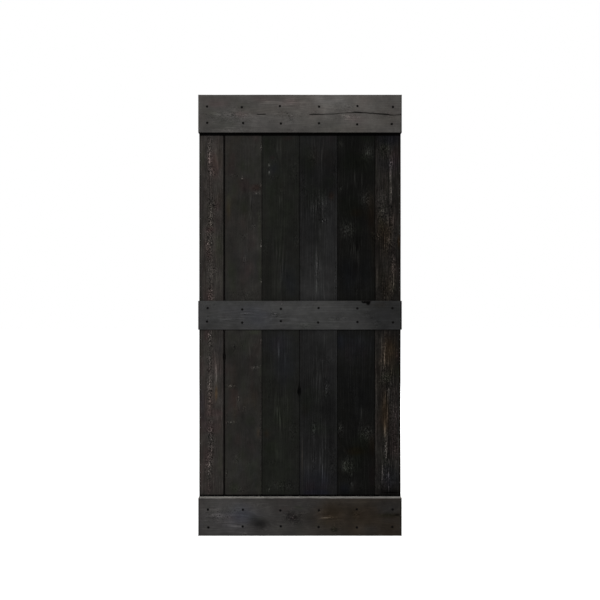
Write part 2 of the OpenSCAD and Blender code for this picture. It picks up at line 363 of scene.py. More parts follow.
            (90, 1567, 40, 24, 1.2), (165, 1560, 28, 110, 0.9), (175, 1350, 15, 200, 0.6),
            (90, 400, 40, 18, 1.6), (80, 940, 100, 60, -0.5), (30, 220, 30, 30, -1.2),
            (10, 940, 20, 40, -1.2), (170, 430, 20, 60, 0.9), (90, 1260, 100, 90, -0.75),
            (90, 780, 100, 190, -0.55), (90, 420, 60, 30, 0.5)],
        green=[
            (140, 1930, 40, 24, 1.4), (90, 1810, 80, 50, 1.4), (60, 1600, 50, 60, 1.1),
            (100, 1490, 40, 40, 0.9), (120, 440, 60, 60, 1.2), (90, 330, 60, 50, 1),
            (165, 1560, 28, 110, -0.8), (170, 270, 20, 70, -1.8), (170, 430, 20, 60, -0.9),
            (80, 1200, 90, 120, -0.2), (90, 880, 100, 100, -0.5)],
        tone=[
            (72, 1395, 4, 40, 0.8), (85, 1390, 4, 36, 0.7), (106, 1400, 4, 26, 0.6),
            (146, 1865, 32, 38, 1.2), (18, 1905, 13, 16, 1.1), (140, 1640, 32, 36, 1.45),
            (142, 1642, 15, 17, -0.7), (13, 1680, 10, 14, 1), (49, 1485, 36, 40, 1.6),
            (52, 1485, 17, 18, -0.8), (30, 1735, 35, 50, 0.5), (140, 492, 36, 38, 1.5),
            (138, 495, 15, 17, -0.6), (15, 510, 12, 30, 0.6), (52, 337, 36, 38, 1.55),
            (54, 337, 17, 18, -0.8), (80, 1260, 100, 140, 0.35), (80, 930, 100, 110, 0.65),
            (110, 1800, 60, 30, -0.3), (110, 1560, 50, 40, -0.3), (150, 400, 50, 30, -0.4),
            (100, 620, 80, 60, -0.2), (90, 620, 150, 420, 0.22), (158, 1780, 28, 160, 0.36),
            (31, 1460, 20, 40, 0.24), (100, 1413, 33, 73, -0.64), (80, 1285, 80, 40, -0.38),
            (155, 1200, 26, 35, 0.24), (31, 860, 34, 110, 0.26), (120, 590, 50, 30, 0.32),
            (31, 510, 22, 30, 0.3), (30, 320, 22, 42, 0.68), (105, 350, 30, 50, -0.24),
            (60, 235, 60, 30, 0.68), (155, 780, 30, 40, 0.2), (31, 1740, 28, 90, -0.2),
            (100, 500, 24, 30, -0.22), (158, 1900, 26, 30, 0.22), (158, 1650, 26, 35, 0.2),
            (25, 1320, 26, 70, -0.2), (140, 570, 34, 50, 0.24),
            (20, 510, 18, 30, 0.16)],
        fibres=[
            (84, 1740, 38, 1.7), (119, 1730, 38, 1.7), (104, 1280, 60, 0.7), (83, 690, 90, 0.7),
            (118, 590, 36, 1.3), (83, 430, 60, 0.6)],
        sooty=[]),
    "right_edge_board": dict(
        stain=(0.0103, 0.0094, 0.0085), pale=(0.064, 0.057, 0.048),
        heart=(68, -6), dive=15, ring=5, grain=1.45, mottle=1.2, joints=(0, 1),
        base_warm=0.05, base_green=-0.1,
        knots=[(36, 1530, 12, 0), (50, 755, 12, 0.2), (85, 1400, 8, 0.2)],
        flecked=[
            (30, 1580, 28, 100, 1.5), (78, 1520, 14, 50, 1.3), (72, 1420, 26, 40, 2.1),
            (16, 1450, 16, 18, 2.08), (87, 1260, 12, 80, 1.56), (60, 1180, 40, 60, 0.91),
            (45, 880, 16, 80, 1.17), (55, 760, 36, 35, 1.43), (62, 700, 10, 14, 1.3),
            (95, 600, 24, 110, 1.04), (52, 420, 8, 60, 2.34), (50, 270, 40, 60, 1.17),
            (45, 1880, 30, 50, 1.17), (108, 880, 8, 35, 1.69), (75, 1800, 12, 30, 1.56),
            (100, 420, 14, 60, 1.17), (60, 1000, 60, 1000, 0.39), (77, 1690, 6, 110, 1.6),
            (92, 1330, 10, 40, 1.3)],
        rubbed=[
            (75, 1700, 8, 110, 1.4), (60, 1540, 5, 45, 1.26), (84, 1530, 5, 45, 1.26),
            (72, 1460, 10, 30, 1.26), (88, 1250, 12, 80, 1.26), (10, 1290, 4, 90, 0.9),
            (43, 870, 14, 70, 1.26), (34, 950, 12, 40, 1.44), (47, 650, 10, 30, 1.44),
            (62, 600, 4, 50, 1.98), (49, 510, 10, 60, 1.08), (52, 410, 8, 50, 1.08),
            (55, 1860, 6, 70, 1.62), (85, 1860, 6, 60, 1.44), (34, 290, 5, 60, 1.8),
            (67, 290, 5, 60, 1.8), (60, 1000, 60, 1000, 0.41)],
        warm=[
            (50, 1480, 45, 80, 0.9), (55, 1250, 45, 130, 0.6), (72, 890, 45, 80, 1.5),
            (50, 580, 20, 110, 1.6), (116, 1424, 8, 30, 1.8), (60, 1930, 60, 40, -1.4),
            (20, 620, 20, 200, 0.5), (80, 270, 60, 70, -1.3), (60, 1800, 60, 45, -0.8)],
        green=[
            (36, 1540, 34, 70, 1.1), (55, 760, 45, 40, 1.3), (95, 1850, 30, 60, -1.2),
            (100, 600, 24, 100, -0.7), (110, 870, 12, 30, -1.2), (90, 420, 34, 80, -0.9),
            (30, 1220, 30, 70, 0.7), (112, 790, 10, 30, 1.8), (60, 1900, 60, 40, 1.1),
            (50, 1460, 50, 35, 0.5), (60, 1550, 60, 30, -0.6), (60, 330, 70, 110, 0.35)],
        tone=[
            (33, 1570, 32, 85, 0.75), (60, 1930, 70, 30, -0.4), (90, 1800, 35, 80, 0.4),
            (75, 1760, 5, 55, 1.9), (77, 1655, 5, 50, 1.9), (83, 1820, 4, 14, 1.3),
            (76, 1480, 5, 12, 1.1), (44, 840, 4, 40, 1.1), (70, 890, 26, 70, 0.55), (48, 505, 5, 50, 1.6),
            (51, 400, 5, 40, 1.5), (47, 650, 4, 30, 0.8), (95, 600, 22, 110, 0.6),
            (105, 1330, 18, 80, -0.45), (12, 1380, 12, 50, -0.6), (80, 205, 60, 14, -1.2),
            # The lines at a = 4 and 9 mm are a painted highlight along the board's left edge, by the
            # joint
            (4, 620, 4, 320, 1.3), (9, 1270, 4, 70, 1.4), (55, 760, 34, 35, 0.6), (30, 680, 20, 50, -0.2),
            (72, 1425, 22, 30, 0.5), (60, 1905, 70, 40, -0.28), (21, 1800, 22, 45, 0.34),
            (50, 1700, 55, 60, 0.36), (40, 1550, 35, 35, -0.38), (40, 1430, 35, 80, -0.42),
            (20, 1285, 22, 45, -0.44), (42, 1190, 42, 35, -0.46), (108, 870, 22, 110, -0.46),
            (60, 740, 24, 80, -0.38), (100, 1290, 22, 80, 0.14), (60, 500, 65, 50, 0.3),
            (20, 383, 23, 63, 0.6), (106, 380, 24, 70, 0.52), (40, 238, 40, 30, -0.34),
            (90, 590, 40, 30, 0.15), (62, 1280, 22, 35, 0.28), (20, 1195, 20, 30, -0.28),
            (20, 1730, 20, 60, 0.24), (21, 860, 20, 35, 0.24), (106, 770, 20, 35, -0.2),
            (20, 680, 20, 35, 0.28), (106, 400, 22, 120, 0.28),
            (62, 1460, 22, 30, -0.2)],
        fibres=[
            (55, 1900, 50, 1.1), (81, 1925, 20, 1), (87, 1885, 22, 1), (91, 1850, 18, 1.1),
            (62, 1530, 40, 1.2), (52, 1570, 30, 0.9), (86, 1530, 40, 1.2), (96, 1570, 30, 0.9),
            (87, 1310, 45, 1.1), (77, 1220, 50, 1), (95, 1230, 60, 0.35), (34, 900, 50, 0.9),
            (52, 930, 40, 0.7), (36, 290, 50, 0.8), (67, 290, 50, 0.8), (60, 580, 50, 0.7)],
        sooty=[(125, 620, 4, 400, 0.8), (80, 200, 50, 6, 0.8)]),
    # The rails' stains lighten upwards: partly their own tone, partly painted light from above
    "top_rail": dict(
        stain=(0.0606, 0.0580, 0.0550), pale=(0.125, 0.118, 0.110),
        heart=(88, -55), dive=14, ring=6.4, grain=0.2, mottle=0.5, joints=(0.2, 0.8),
        base_warm=0.24, base_green=-0.15, settled=1,
        knots=[(80, 205, 12, -0.1), (65, 445, 8, 0.1)],
        flecked=[
            (80, 165, 30, 90, 0.45), (88, 420, 14, 70, 0.45), (65, 445, 18, 30, 0.5),
            (75, 725, 14, 50, 0.6), (100, 555, 12, 25, 0.6), (12, 150, 10, 30, 0.5),
            (120, 700, 20, 60, 0.3), (12, 450, 10, 40, 0.3)],
        rubbed=[
            (86, 200, 12, 120, 0.5), (150, 400, 20, 120, 0.5), (75, 725, 14, 60, 0.6),
            (20, 200, 14, 120, 0.4)],
        warm=[(150, 700, 30, 180, -0.1), (40, 300, 40, 200, -0.3)],
        green=[
            (140, 80, 30, 60, -0.7), (90, 200, 20, 35, -0.8), (165, 280, 20, 60, -0.7),
            (150, 450, 25, 60, -0.6), (40, 650, 30, 80, 0.4), (40, 130, 40, 100, 0.5),
            (70, 760, 30, 50, -0.5), (130, 220, 30, 60, 0.6), (100, 60, 20, 50, 0.6)],
        tone=[
            (155, 650, 44, 110, 0.58), (130, 800, 60, 130, 0.26), (60, 800, 50, 80, 0.2),
            (100, 550, 80, 50, 0.12), (150, 450, 40, 150, 0.12), (80, 190, 20, 70, 0.12),
            (120, 70, 60, 60, -0.12), (75, 730, 14, 60, 0.18), (12, 150, 12, 30, 0.3),
            (40, 930, 60, 60, -0.12), (150, 600, 30, 45, 0.18), (92, 610, 30, 45, 0.28),
            (92, 700, 28, 40, 0.1), (150, 340, 30, 40, 0.14), (26, 60, 28, 60, -0.28),
            (14, 500, 16, 460, -0.08), (92, 950, 30, 40, 0.12), (120, 640, 60, 50, 0.08)],
        fibres=[],
        sooty=[]),
    "middle_rail": dict(
        stain=(0.0397, 0.0395, 0.0391), pale=(0.080, 0.080, 0.079),
        heart=(60, -80), dive=16, ring=6.6, grain=0.24, mottle=0.6, joints=(0.6, 1.4),
        base_warm=-0.06, base_green=0, settled=0.2,
        knots=[(72, 370, 8, 0.3), (78, 818, 7, 0.4)],
        flecked=[
            (72, 370, 9, 18, 1.6), (78, 818, 12, 12, 1.6), (53, 45, 12, 16, 0.7), (55, 675, 10, 45, 0.6),
            (57, 842, 6, 14, 0.7), (78, 235, 4, 24, 0.9), (126, 403, 6, 6, 1), (30, 860, 14, 20, 0.8),
            (20, 510, 14, 30, 0.5), (120, 60, 12, 30, 0.4)],
        rubbed=[
            (51, 150, 10, 45, 0.8), (45, 420, 16, 60, 0.4), (78, 235, 6, 24, 1), (55, 675, 10, 45, 0.6)],
        warm=[
            (80, 260, 50, 120, -0.4), (120, 880, 20, 50, 0.7), (110, 560, 30, 120, 0.2),
            (40, 300, 40, 80, -0.4), (60, 900, 60, 50, -0.3)],
        green=[(80, 260, 50, 120, -0.3), (20, 500, 30, 80, 0.6)],
        tone=[
            (70, 920, 140, 130, -1.22), (90, 500, 60, 250, 0.1), (55, 675, 12, 50, 0.15),
            (10, 480, 12, 400, -0.15), (120, 330, 22, 120, 0.2), (118, 740, 22, 40, -0.28),
            (70, 668, 22, 82, -0.33), (20, 57, 24, 43, -0.44), (20, 300, 24, 80, 0.2),
            (22, 640, 24, 40, -0.18), (70, 900, 30, 60, 0.12), (70, 400, 22, 60, -0.1),
            (118, 820, 22, 100, -0.15),
            (120, 440, 20, 30, 0.1)],
        fibres=[],
        sooty=[(139, 812, 7, 20, 1.5), (128, 822, 8, 8, 1.4), (134, 800, 6, 8, 1)]),
    "bottom_rail": dict(
        stain=(0.0316, 0.0298, 0.0286), pale=(0.072, 0.068, 0.063),
        heart=(110, -75), dive=20, ring=7, grain=0.26, mottle=0.8, joints=(0.9, 1.4),
        base_warm=0, base_green=0, settled=1,
        knots=[(60, 296, 16, 0.2), (88, 463, 12, 0.6), (31, 657, 5, 1.8), (120, 765, 6, 0.2)],
        flecked=[
            (88, 463, 26, 38, 1.5), (100, 100, 30, 80, 0.45), (31, 657, 12, 10, 2.2),
            (106, 765, 22, 22, 0.9), (90, 640, 12, 35, 0.8), (30, 310, 10, 18, 0.7),
            (14, 225, 8, 20, 0.8), (56, 690, 26, 10, 0.6), (100, 920, 12, 45, 0.5),
            (120, 590, 14, 14, 0.8)],
        rubbed=[
            (110, 100, 45, 80, 0.35), (88, 615, 5, 22, 1.6), (92, 655, 6, 22, 1.2),
            (60, 200, 30, 60, 0.5)],
        warm=[
            (90, 860, 200, 300, 1.1), (104, 765, 20, 20, 0.4), (98, 930, 12, 60, 0.4),
            (110, 220, 60, 70, -0.8), (90, 120, 100, 160, -0.3), (110, 640, 60, 60, 0.7),
            (120, 920, 60, 60, -0.7), (30, 840, 30, 50, -0.6)],
        green=[
            (138, 480, 14, 22, 0.9), (98, 920, 12, 60, 1.2), (31, 657, 14, 14, 0.9),
            (60, 560, 60, 80, 0.5), (90, 130, 20, 80, -0.7), (130, 430, 20, 50, -0.6),
            (88, 463, 18, 28, -0.9), (100, 200, 70, 100, 0.45)],
        tone=[
            (90, 120, 140, 200, 0.85), (64, 290, 26, 40, -1.1), (50, 312, 12, 14, -0.5),
            (88, 463, 22, 32, -1), (90, 500, 140, 80, 0.1), (89, 608, 6, 20, 0.8), (94, 650, 4, 30, 0.4),
            (50, 658, 20, 3, 0.5), (100, 330, 60, 30, 0.1), (80, 900, 140, 190, -0.85),
            (99, 930, 12, 60, -0.6), (150, 900, 30, 150, -0.25), (14, 225, 10, 30, 0.4),
            (150, 220, 30, 80, 0.22), (118, 645, 50, 50, -0.85), (110, 737, 50, 37, -0.42),
            (88, 543, 28, 33, -0.58), (30, 370, 30, 70, 0.26), (30, 790, 30, 62, 0.5),
            (92, 240, 26, 40, -0.15), (150, 940, 30, 40, 0.18),
            (92, 940, 30, 30, -0.16),
            (92, 150, 26, 40, 0.14)],
        fibres=[],
        sooty=[(102, 962, 7, 16, 0.6)]),
}
BOARDS = [name for name in PLANKS if name.endswith("board")]
RAILS = [name for name in PLANKS if name.endswith("rail")]
print(len(BOARDS), "boards and", len(RAILS), "rails")

# %% [markdown]
# ## The tree inside each plank
# A growth ring is a cone-like shell round the heart of the tree. Where a saw cuts through the
# shells, their edges draw the grain. So a point's ring number is its distance from the heart
# line divided by the width of a ring, and one formula gives straight lines near a plank's
# edges, arches in its middle, and arcs on its ends. Each knot lifts the ring number in a
# bell-shaped bump, so the rings part and flow round it as they do round a real branch.
#
# The alternative, a wave texture bent by noise, gives stripes that never agree at a corner.

# %% Ring numbers
KNOT_STRETCH = 2.2
KNOT_RINGS = 3.0
# How slowly a knot's bump and its tone die away
KNOT_BUMP_FALL, KNOT_TONE_FALL = 1.6, 1.3
# The heart moves sideways by this share of its dive. Its waves are this many metres long, and
# each reads its own row of the noise
HEART_SWAY = 0.35
SWAY_WAVE, DIVE_WAVE = 0.45, 0.42
SWAY_ROW, DIVE_ROW = 0.5, 3.5
# Each wander of the rings: how many rings, over how many millimetres across and along, how
# much faster through the thickness, and which noise
RING_WANDERS = ((0.55, 30, 300, 9, 3), (0.60, 13, 200, 0, 5), (0.16, 9, 70, 0, 4))


def heart_line(l, plank, seed):
    """Where the tree's middle lies at each point along: the described place plus slow noise."""
    a, depth = np.array(plank["heart"]) * MM
    dive = plank["dive"] * MM
    side = a + HEART_SWAY * dive * soft_noise(l / SWAY_WAVE, SWAY_ROW, seed)
    return side, depth + dive * layered_noise(l / DIVE_WAVE, DIVE_ROW, seed + 1, 2)


def knot_distance(a, l, knot):
    """Distance from a knot in knot radii, drawn out along the grain."""
    a0, l0, radius = np.array(knot[:3]) * MM
    return np.hypot((a - a0) / radius, (l - l0) / (radius * KNOT_STRETCH))


def ring_numbers(a, d, l, plank, seed):
    """Distance from the heart line over the ring width, plus the wanders, plus a bump of
    e to the minus q^1.5 / 1.6 at each knot, where q is the distance in knot radii."""
    side, depth = heart_line(l, plank, seed)
    ring = np.hypot(a - side, d - depth) / (plank["ring"] * MM)
    for rings, across, along, through, noise_number in RING_WANDERS:
        ring += rings * drift(a + through * d, l, across, along, seed + noise_number, 1)
    for knot in plank["knots"]:
        ring += KNOT_RINGS * np.exp(-(knot_distance(a, l, knot) ** 1.5) / KNOT_BUMP_FALL)
    return ring


# %% [markdown]
# ## Where the stain is thick, thin, warm or worn
# The finish needs seven more numbers at each point, most of them a sum of soft ovals and a
# little noise. They are stored on the mesh beside the ring number, and the materials read them by
# name: `warm`, `green`, `tone`, `rub`, `fleck`, `sootshade` and `dustlight`. `sootshade` is dirt
# and also painted shade under the rails, in the check and in the screw holes, and `dustlight` is
# dust and also painted light on upper faces.

# %% Finish fields
# Half the width of a single fibre, in millimetres
FIBRE_HALF = 3
# How much faster a pattern runs through the thickness than across the face
THROUGH = 4
# Noise counts as rubbed or flecked only above these heights
RUB_ABOVE, FLECK_ABOVE = 0.10, 0.35


def patches(a, l, ovals):
    """Sum of ovals: strength times e to the minus of the squared distance in half widths."""
    total = np.zeros(np.broadcast(a, l).shape)
    for *oval, strength in ovals:
        a0, l0, half_a, half_l = np.array(oval) * MM
        total += strength * np.exp(-(((a - a0) / half_a) ** 2) - ((l - l0) / half_l) ** 2)
    return total


def finish_fields(a, d, l, plank, seed, front):
    """Ring number and the finish fields. Marks belong to the front face, and fade into plain
    noise through the plank's thickness, so that its back isn't a copy of its front."""
    around = a + THROUGH * d

    def marks(key):
        return front * patches(a, l, plank[key])

    warm = plank["base_warm"] + marks("warm") + plank["mottle"] * wander("warm", around, l, seed)
    green = plank["base_green"] + marks("green") + plank["mottle"] * wander("green", around, l, seed)
    lines = [(a0, l0, FIBRE_HALF, half_l, stops) for a0, l0, half_l, stops in plank["fibres"]]
    tone = marks("tone") + front * patches(a, l, lines)
    tone += wander("broad tone", around, l, seed) + wander("fine tone", around, l, seed)
    for knot in plank["knots"]:
        tone -= front * knot[3] * np.exp(-(knot_distance(a, l, knot) ** 2) / KNOT_TONE_FALL)
    return dict(ring=ring_numbers(a, d, l, plank, seed), warm=warm, green=green, tone=tone,
                rub=marks("rubbed") + wander("rub", around, l, seed, RUB_ABOVE),
                fleck=marks("flecked") + wander("fleck", around, l, seed, FLECK_ABOVE),
                sootshade=marks("sooty"), dustlight=np.zeros_like(l))


# %% [markdown]
# ## A plank as a swept section
# A tongue-and-groove board is a rectangle with a strip left standing on one edge and a slot cut
# into the other. Its section is drawn on graph paper: a grid of lines across and through, and a
# table that says which squares are wood. Where a square of wood has no neighbour, that side of
# it is swept along the plank. At the two ends the squares themselves close the plank. The same
# few lines make a plain rail and a board with both joints, always closed and facing outwards.
#
# The lines lie 2 to 3 mm apart across the face, because the rings are real ridges there: the
# spring wood between them has shrunk back by a fraction of a millimetre.

# %% Section


def section_edges(kept):
    """Sides of kept squares that have no kept neighbour, walked with the wood on the left.
    kept[i, j] is the square between lines i, i + 1 across and j, j + 1 through."""
    wide = np.pad(kept, 1)
    columns, rows = kept.shape[0] + 1, kept.shape[1] + 1
    number = np.arange(columns * rows).reshape(columns, rows)
    sides = [
        (wide[1:-1, :-2], number[:-1, :-1], number[1:, :-1]),
        (wide[2:, 1:-1], number[1:, :-1], number[1:, 1:]),
        (wide[1:-1, 2:], number[1:, 1:], number[:-1, 1:]),
        (wide[:-2, 1:-1], number[:-1, 1:], number[:-1, :-1]),
    ]
    found = [np.stack([start[kept & ~beside], end[kept & ~beside]], 1)
             for beside, start, end in sides]
    squares = np.stack([number[:-1, :-1], number[1:, :-1], number[1:, 1:], number[:-1, 1:]], -1)
    return np.concatenate(found), squares[kept]


def swept_plank(across, through, kept, along):
    """Points (a, d, l) and quads of a section swept along. across and through give each grid
    point's place, and along the rows. Returns the inward direction of each point too."""
    edges, squares = section_edges(kept)
    rim = np.unique(edges)
    slot = np.full(across.size, -1)
    slot[rim] = np.arange(rim.size)
    a, d = across.ravel(), through.ravel()

    # Each side's inward normal, summed on its two ends and made one long
    run = np.stack([a[edges[:, 1]] - a[edges[:, 0]], d[edges[:, 1]] - d[edges[:, 0]]], 1)
    normal = np.stack([-run[:, 1], run[:, 0]], 1)
    normal /= np.linalg.norm(normal, axis=1, keepdims=True)
    inward = np.zeros((rim.size, 2))
    np.add.at(inward, slot[edges[:, 0]], normal)
    np.add.at(inward, slot[edges[:, 1]], normal)
    inward /= np.linalg.norm(inward, axis=1, keepdims=True)

    rows = along.size
    step = np.arange(rows - 1)[:, None] * rim.size
    start, end = slot[edges[:, 0]][None], slot[edges[:, 1]][None]
    quads = [np.stack([start + step, end + step, end + step + rim.size, start + step + rim.size],
                      -1).reshape(-1, 4)]
    points = np.stack([np.tile(a[rim], rows), np.tile(d[rim], rows), np.repeat(along, rim.size)], 1)
    inward = np.tile(inward, (rows, 1))

    inner = np.setdiff1d(np.unique(squares), rim)
    for place, first, order in ((along[0], 0, slice(None, None, -1)),
                                (along[-1], (rows - 1) * rim.size, slice(None))):
        number = np.zeros(a.size, int)
        number[rim] = first + np.arange(rim.size)
        number[inner] = len(points) + np.arange(inner.size)
        quads.append(number[squares][:, order])
        points = np.concatenate([points, np.stack([a[inner], d[inner], np.full(inner.size, place)], 1)])
        inward = np.concatenate([inward, np.zeros((inner.size, 2))])
    return points, np.concatenate(quads), inward, rim.size


# %% [markdown]
# ## Relief
# Worn softwood isn't flat. The relief is a depth below the CAD face, never above it, so the
# door keeps its size: valleys between the rings, a slow unevenness left by hand planing, an
# edge that has lost a little more in some places than in others, and deep narrow marks where
# the soot lies, among them the open check, whose soot is painted shade. Only faces that show
# are worn. A tongue and its groove keep their fit.

# %% Relief
RING_DEPTH = 0.25 * MM
PLANE_DEPTH = 0.30 * MM
EDGE_DEPTH = 0.6 * MM
SOOT_DEPTH = 1.6 * MM
# Every edge has lost this share of the edge depth, and more where noise rises above a height
EDGE_WEAR, CHEWED_ABOVE = 0.25, 0.3


def relief(a, d, l, ring, sootshade, edge, spacing, seed):
    """Depth below the face: a cosine of the ring number where rings are wider than the mesh's
    own spacing, plus planing and edge wear by noise, plus the sooty marks and the check's painted shade."""
    valley = 0.5 - 0.5 * np.cos(2 * np.pi * ring)
    planed = 0.5 + wander("planed", a + THROUGH * d, l, seed)
    worn = EDGE_WEAR + wander("worn edge", a, l, seed) + wander("chewed edge", a, l, seed, CHEWED_ABOVE)
    depth = RING_DEPTH * valley * spacing + PLANE_DEPTH * planed
    depth += EDGE_DEPTH * edge * np.clip(worn, 0, 1)
    return depth + SOOT_DEPTH * np.clip(sootshade, 0, 1)


# %% [markdown]
# ## Putting a mesh into Blender
# A piece is one mesh of whole arrays. Its place is in its points, so its object stays at the
# origin, as the CAD nodes do. Edges sharper than 35 degrees stay crisp, and the rest is shaded
# smooth. Each finish field becomes a named attribute on the points.

# %% Mesh helper
SHARP = math.radians(35)
NO_TRIANGLES = np.zeros((0, 3), int)
piece_triangles = {}


def make_piece(name, points, quads, triangles, fields, material, node):
    """A mesh object from arrays, with its fields as point attributes. It rides on the door."""
    mesh = bpy.data.meshes.new(name)
    mesh.from_pydata(points.tolist(), [], quads.tolist() + triangles.tolist())
    for key, values in fields.items():
        attribute = mesh.attributes.new(key, "FLOAT", "POINT")
        attribute.data.foreach_set("value", values.astype(np.float32))
    mesh.shade_smooth()
    mesh.set_sharp_from_angle(angle=SHARP)
    mesh.materials.append(material)
    piece = bpy.data.objects.new(name, mesh)
    bpy.context.scene.collection.objects.link(piece)
    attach(piece, "root")
    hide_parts(node)
    piece_triangles[name] = 2 * len(quads) + len(triangles)
    print(name, piece_triangles[name], "triangles")


# %% [markdown]
# ## Node groups for stained pine
# Five effects make the finish, and every plank uses all five with its own values, so each is a
# node group: the ring lines, the fibres between them, torn flecks, the clouds and specks of an
# uneven stain, and the mixing of the colours. A group gives out only masks, colours and
# heights. The shader itself stays in the material.

# %% Node helpers


def new_node(tree, kind, **values):
    """A node with its settings and input values. An underscore in front marks an input, and one
    inside an input's name stands for a space."""
    node = tree.nodes.new(kind)
    for key, value in values.items():
        if key.startswith("_"):
            node.inputs[key[1:].replace("_", " ")].default_value = value
        else:
            setattr(node, key, value)
    return node


def feed(tree, source, target):
    """Joins an output to an input, or sets the input where the source is a plain number."""
    if isinstance(source, bpy.types.NodeSocket):
        tree.links.new(source, target)
    else:
        target.default_value = source


def maths(tree, operation, *sources, clamp=False):
    """One sum, product or other step on numbers that vary over the surface."""
    node = new_node(tree, "ShaderNodeMath", operation=operation, use_clamp=clamp)
    for source, target in zip(sources, node.inputs):
        feed(tree, source, target)
    return node.outputs[0]


def weighted(tree, given, start, weights):
    """A plain number plus each of the given inputs times its weight."""
    total = start
    for name, weight in weights.items():
        total = maths(tree, "MULTIPLY_ADD", given[name], weight, total)
    return total


def ramp(tree, source, low, high, to_low=0.0, to_high=1.0):
    """A smooth step from to_low to to_high as the source goes from low to high."""
    node = new_node(tree, "ShaderNodeMapRange", interpolation_type="SMOOTHSTEP", _From_Min=low,
                    _From_Max=high, _To_Min=to_low, _To_Max=to_high)
    feed(tree, source, node.inputs["Value"])
    return node.outputs["Result"]


def blend_colours(tree, amount, first, second, mode="MIX"):
    """first where amount is nought, and second, or first worked on by second, where it is one."""
    node = new_node(tree, "ShaderNodeMix", data_type="RGBA", blend_type=mode)
    feed(tree, amount, node.inputs[0])
    feed(tree, first, node.inputs[6])
    feed(tree, second, node.inputs[7])
    return node.outputs[2]


def noise(tree, vector, scale, detail=3.0, roughness=0.55, swirl=0.0):
    """Blender's own fractal noise, from about 0.2 to 0.8. swirl bends it by itself."""
    node = new_node(tree, "ShaderNodeTexNoise", _Scale=scale, _Detail=detail,
                    _Roughness=roughness, _Distortion=swirl)
    feed(tree, vector, node.inputs["Vector"])
    return node.outputs["Fac"]


def new_material(name):
    """A material with nodes, its node tree and its shader."""
    material = bpy.data.materials.new(name)
    material.use_nodes = True
    return material, material.node_tree, material.node_tree.nodes["Principled BSDF"]


def new_group(name, inputs, outputs):
    """An empty node group with named sockets, and its two end nodes."""
    group = bpy.data.node_groups.new(name, "ShaderNodeTree")
    kinds = {"f": "NodeSocketFloat", "c": "NodeSocketColor", "v": "NodeSocketVector"}
    for socket, kind in inputs.items():
        group.interface.new_socket(socket, in_out="INPUT", socket_type=kinds[kind])
    for socket, kind in outputs.items():
        group.interface.new_socket(socket, in_out="OUTPUT", socket_type=kinds[kind])
    start, end = group.nodes.new("NodeGroupInput"), group.nodes.new("NodeGroupOutput")
    return group, start.outputs, end.inputs


# %% [markdown]
# The ring lines come from the ring number stored on the mesh. Its fraction climbs from nought
# to one across each ring. Hard summer wood is the last part of that climb: it swells in slowly
# and stops sharply where the next spring began. The lines are broken by noise, since worn wood
# never shows a ring all the way.

# %% Group: ring lines
# The parts of a ring over which its line swells and stops, and the noise that breaks it
LINE_SWELLS, LINE_STOPS = (0.45, 0.88), (0.93, 0.995)
LINE_BREAKS = (0.36, 0.60)
LINE_JITTER = 0.35
UP, DOWN = (0.0, 1.0), (1.0, 0.0)


def ring_line_group():
    """Fraction of the ring number to a line with one soft and one sharp side, times noise."""
    group, given, result = new_group(
        "Ring lines", {"Ring": "f", "Fibre Place": "v"}, {"Line": "f", "Swell": "f"})
    jitter = noise(group, given["Fibre Place"], scale=1.6)
    moved = maths(group, "MULTIPLY_ADD", jitter, LINE_JITTER, given["Ring"])
    climb = maths(group, "FRACT", moved)
    swell = maths(group, "MULTIPLY", ramp(group, climb, *LINE_SWELLS, *UP),
                  ramp(group, climb, *LINE_STOPS, *DOWN))
    broken = ramp(group, noise(group, given["Fibre Place"], scale=0.9, detail=4.0), *LINE_BREAKS)
    feed(group, maths(group, "MULTIPLY", swell, broken), result["Line"])
    feed(group, swell, result["Swell"])
    return group


# %% [markdown]
# Fibres are hair-thin streaks along the grain, and pores are the short dark slits among them.
# Strands are bundles of fibres as broad as a pencil line, which wear pale together. All three
# are noise squeezed across the grain, so each plank gives its own squeezed coordinates.

# %% Group: fibres
# The heights of noise between which each mask comes up
STRAND_STEP, STREAK_STEP, SLIT_STEP = (0.50, 0.66), (0.34, 0.66), (0.36, 0.30)


def fibre_group():
    """Squeezed noise, three times: broad strands, fine streaks, and slits where it is lowest."""
    group, given, result = new_group(
        "Wood fibres", {"Fibre Place": "v"}, {"Strand": "f", "Streak": "f", "Slit": "f"})
    place = given["Fibre Place"]
    strand = noise(group, place, scale=1.0, detail=1.0, roughness=0.5, swirl=0.3)
    long_streak = noise(group, place, scale=3.2, detail=5.0, roughness=0.62)
    fine_streak = noise(group, place, scale=11.0, roughness=0.60)
    both = maths(group, "MULTIPLY_ADD", fine_streak, 0.5, maths(group, "MULTIPLY", long_streak, 0.5))
    slit = noise(group, place, scale=6.0, detail=2.0)
    feed(group, ramp(group, strand, *STRAND_STEP), result["Strand"])
    feed(group, ramp(group, both, *STREAK_STEP), result["Streak"])
    feed(group, ramp(group, slit, *SLIT_STEP), result["Slit"])
    return group


# %% [markdown]
# A blunt planer tears softwood where its grain rises to the face, round knots and along the
# heart. The tears are short crooked flecks, a few millimetres wide and twice as long.
# Raised ones have lost their stain and the torn-out ones hold more of it, so the group gives
# both. The swirl makes them crooked.

# %% Group: torn flecks
CREST_STEP, TROUGH_STEP = (0.55, 0.64), (0.46, 0.36)
FLECK_SWIRL = 1.3


def fleck_group():
    """Crests and troughs of swirled noise, each as a smooth step."""
    group, given, result = new_group("Torn flecks", {"Fleck Place": "v"}, {"Crest": "f", "Trough": "f"})
    height = noise(group, given["Fleck Place"], scale=1.0, roughness=0.60, swirl=FLECK_SWIRL)
    feed(group, ramp(group, height, *CREST_STEP), result["Crest"])
    feed(group, ramp(group, height, *TROUGH_STEP), result["Trough"])
    return group


# %% [markdown]
# Thick black stain dries in clouds a few fingers wide, and leaves specks where a splinter or a
# grain of dust lifted it. Both are plain noise in the door's own space, in metres.

# %% Group: stain clouds
CLOUDS_A_METRE, SPECKS_A_METRE = 22.0, 120.0
CLOUD_STEP, SPECK_STEP = (0.30, 0.70), (0.71, 0.78)


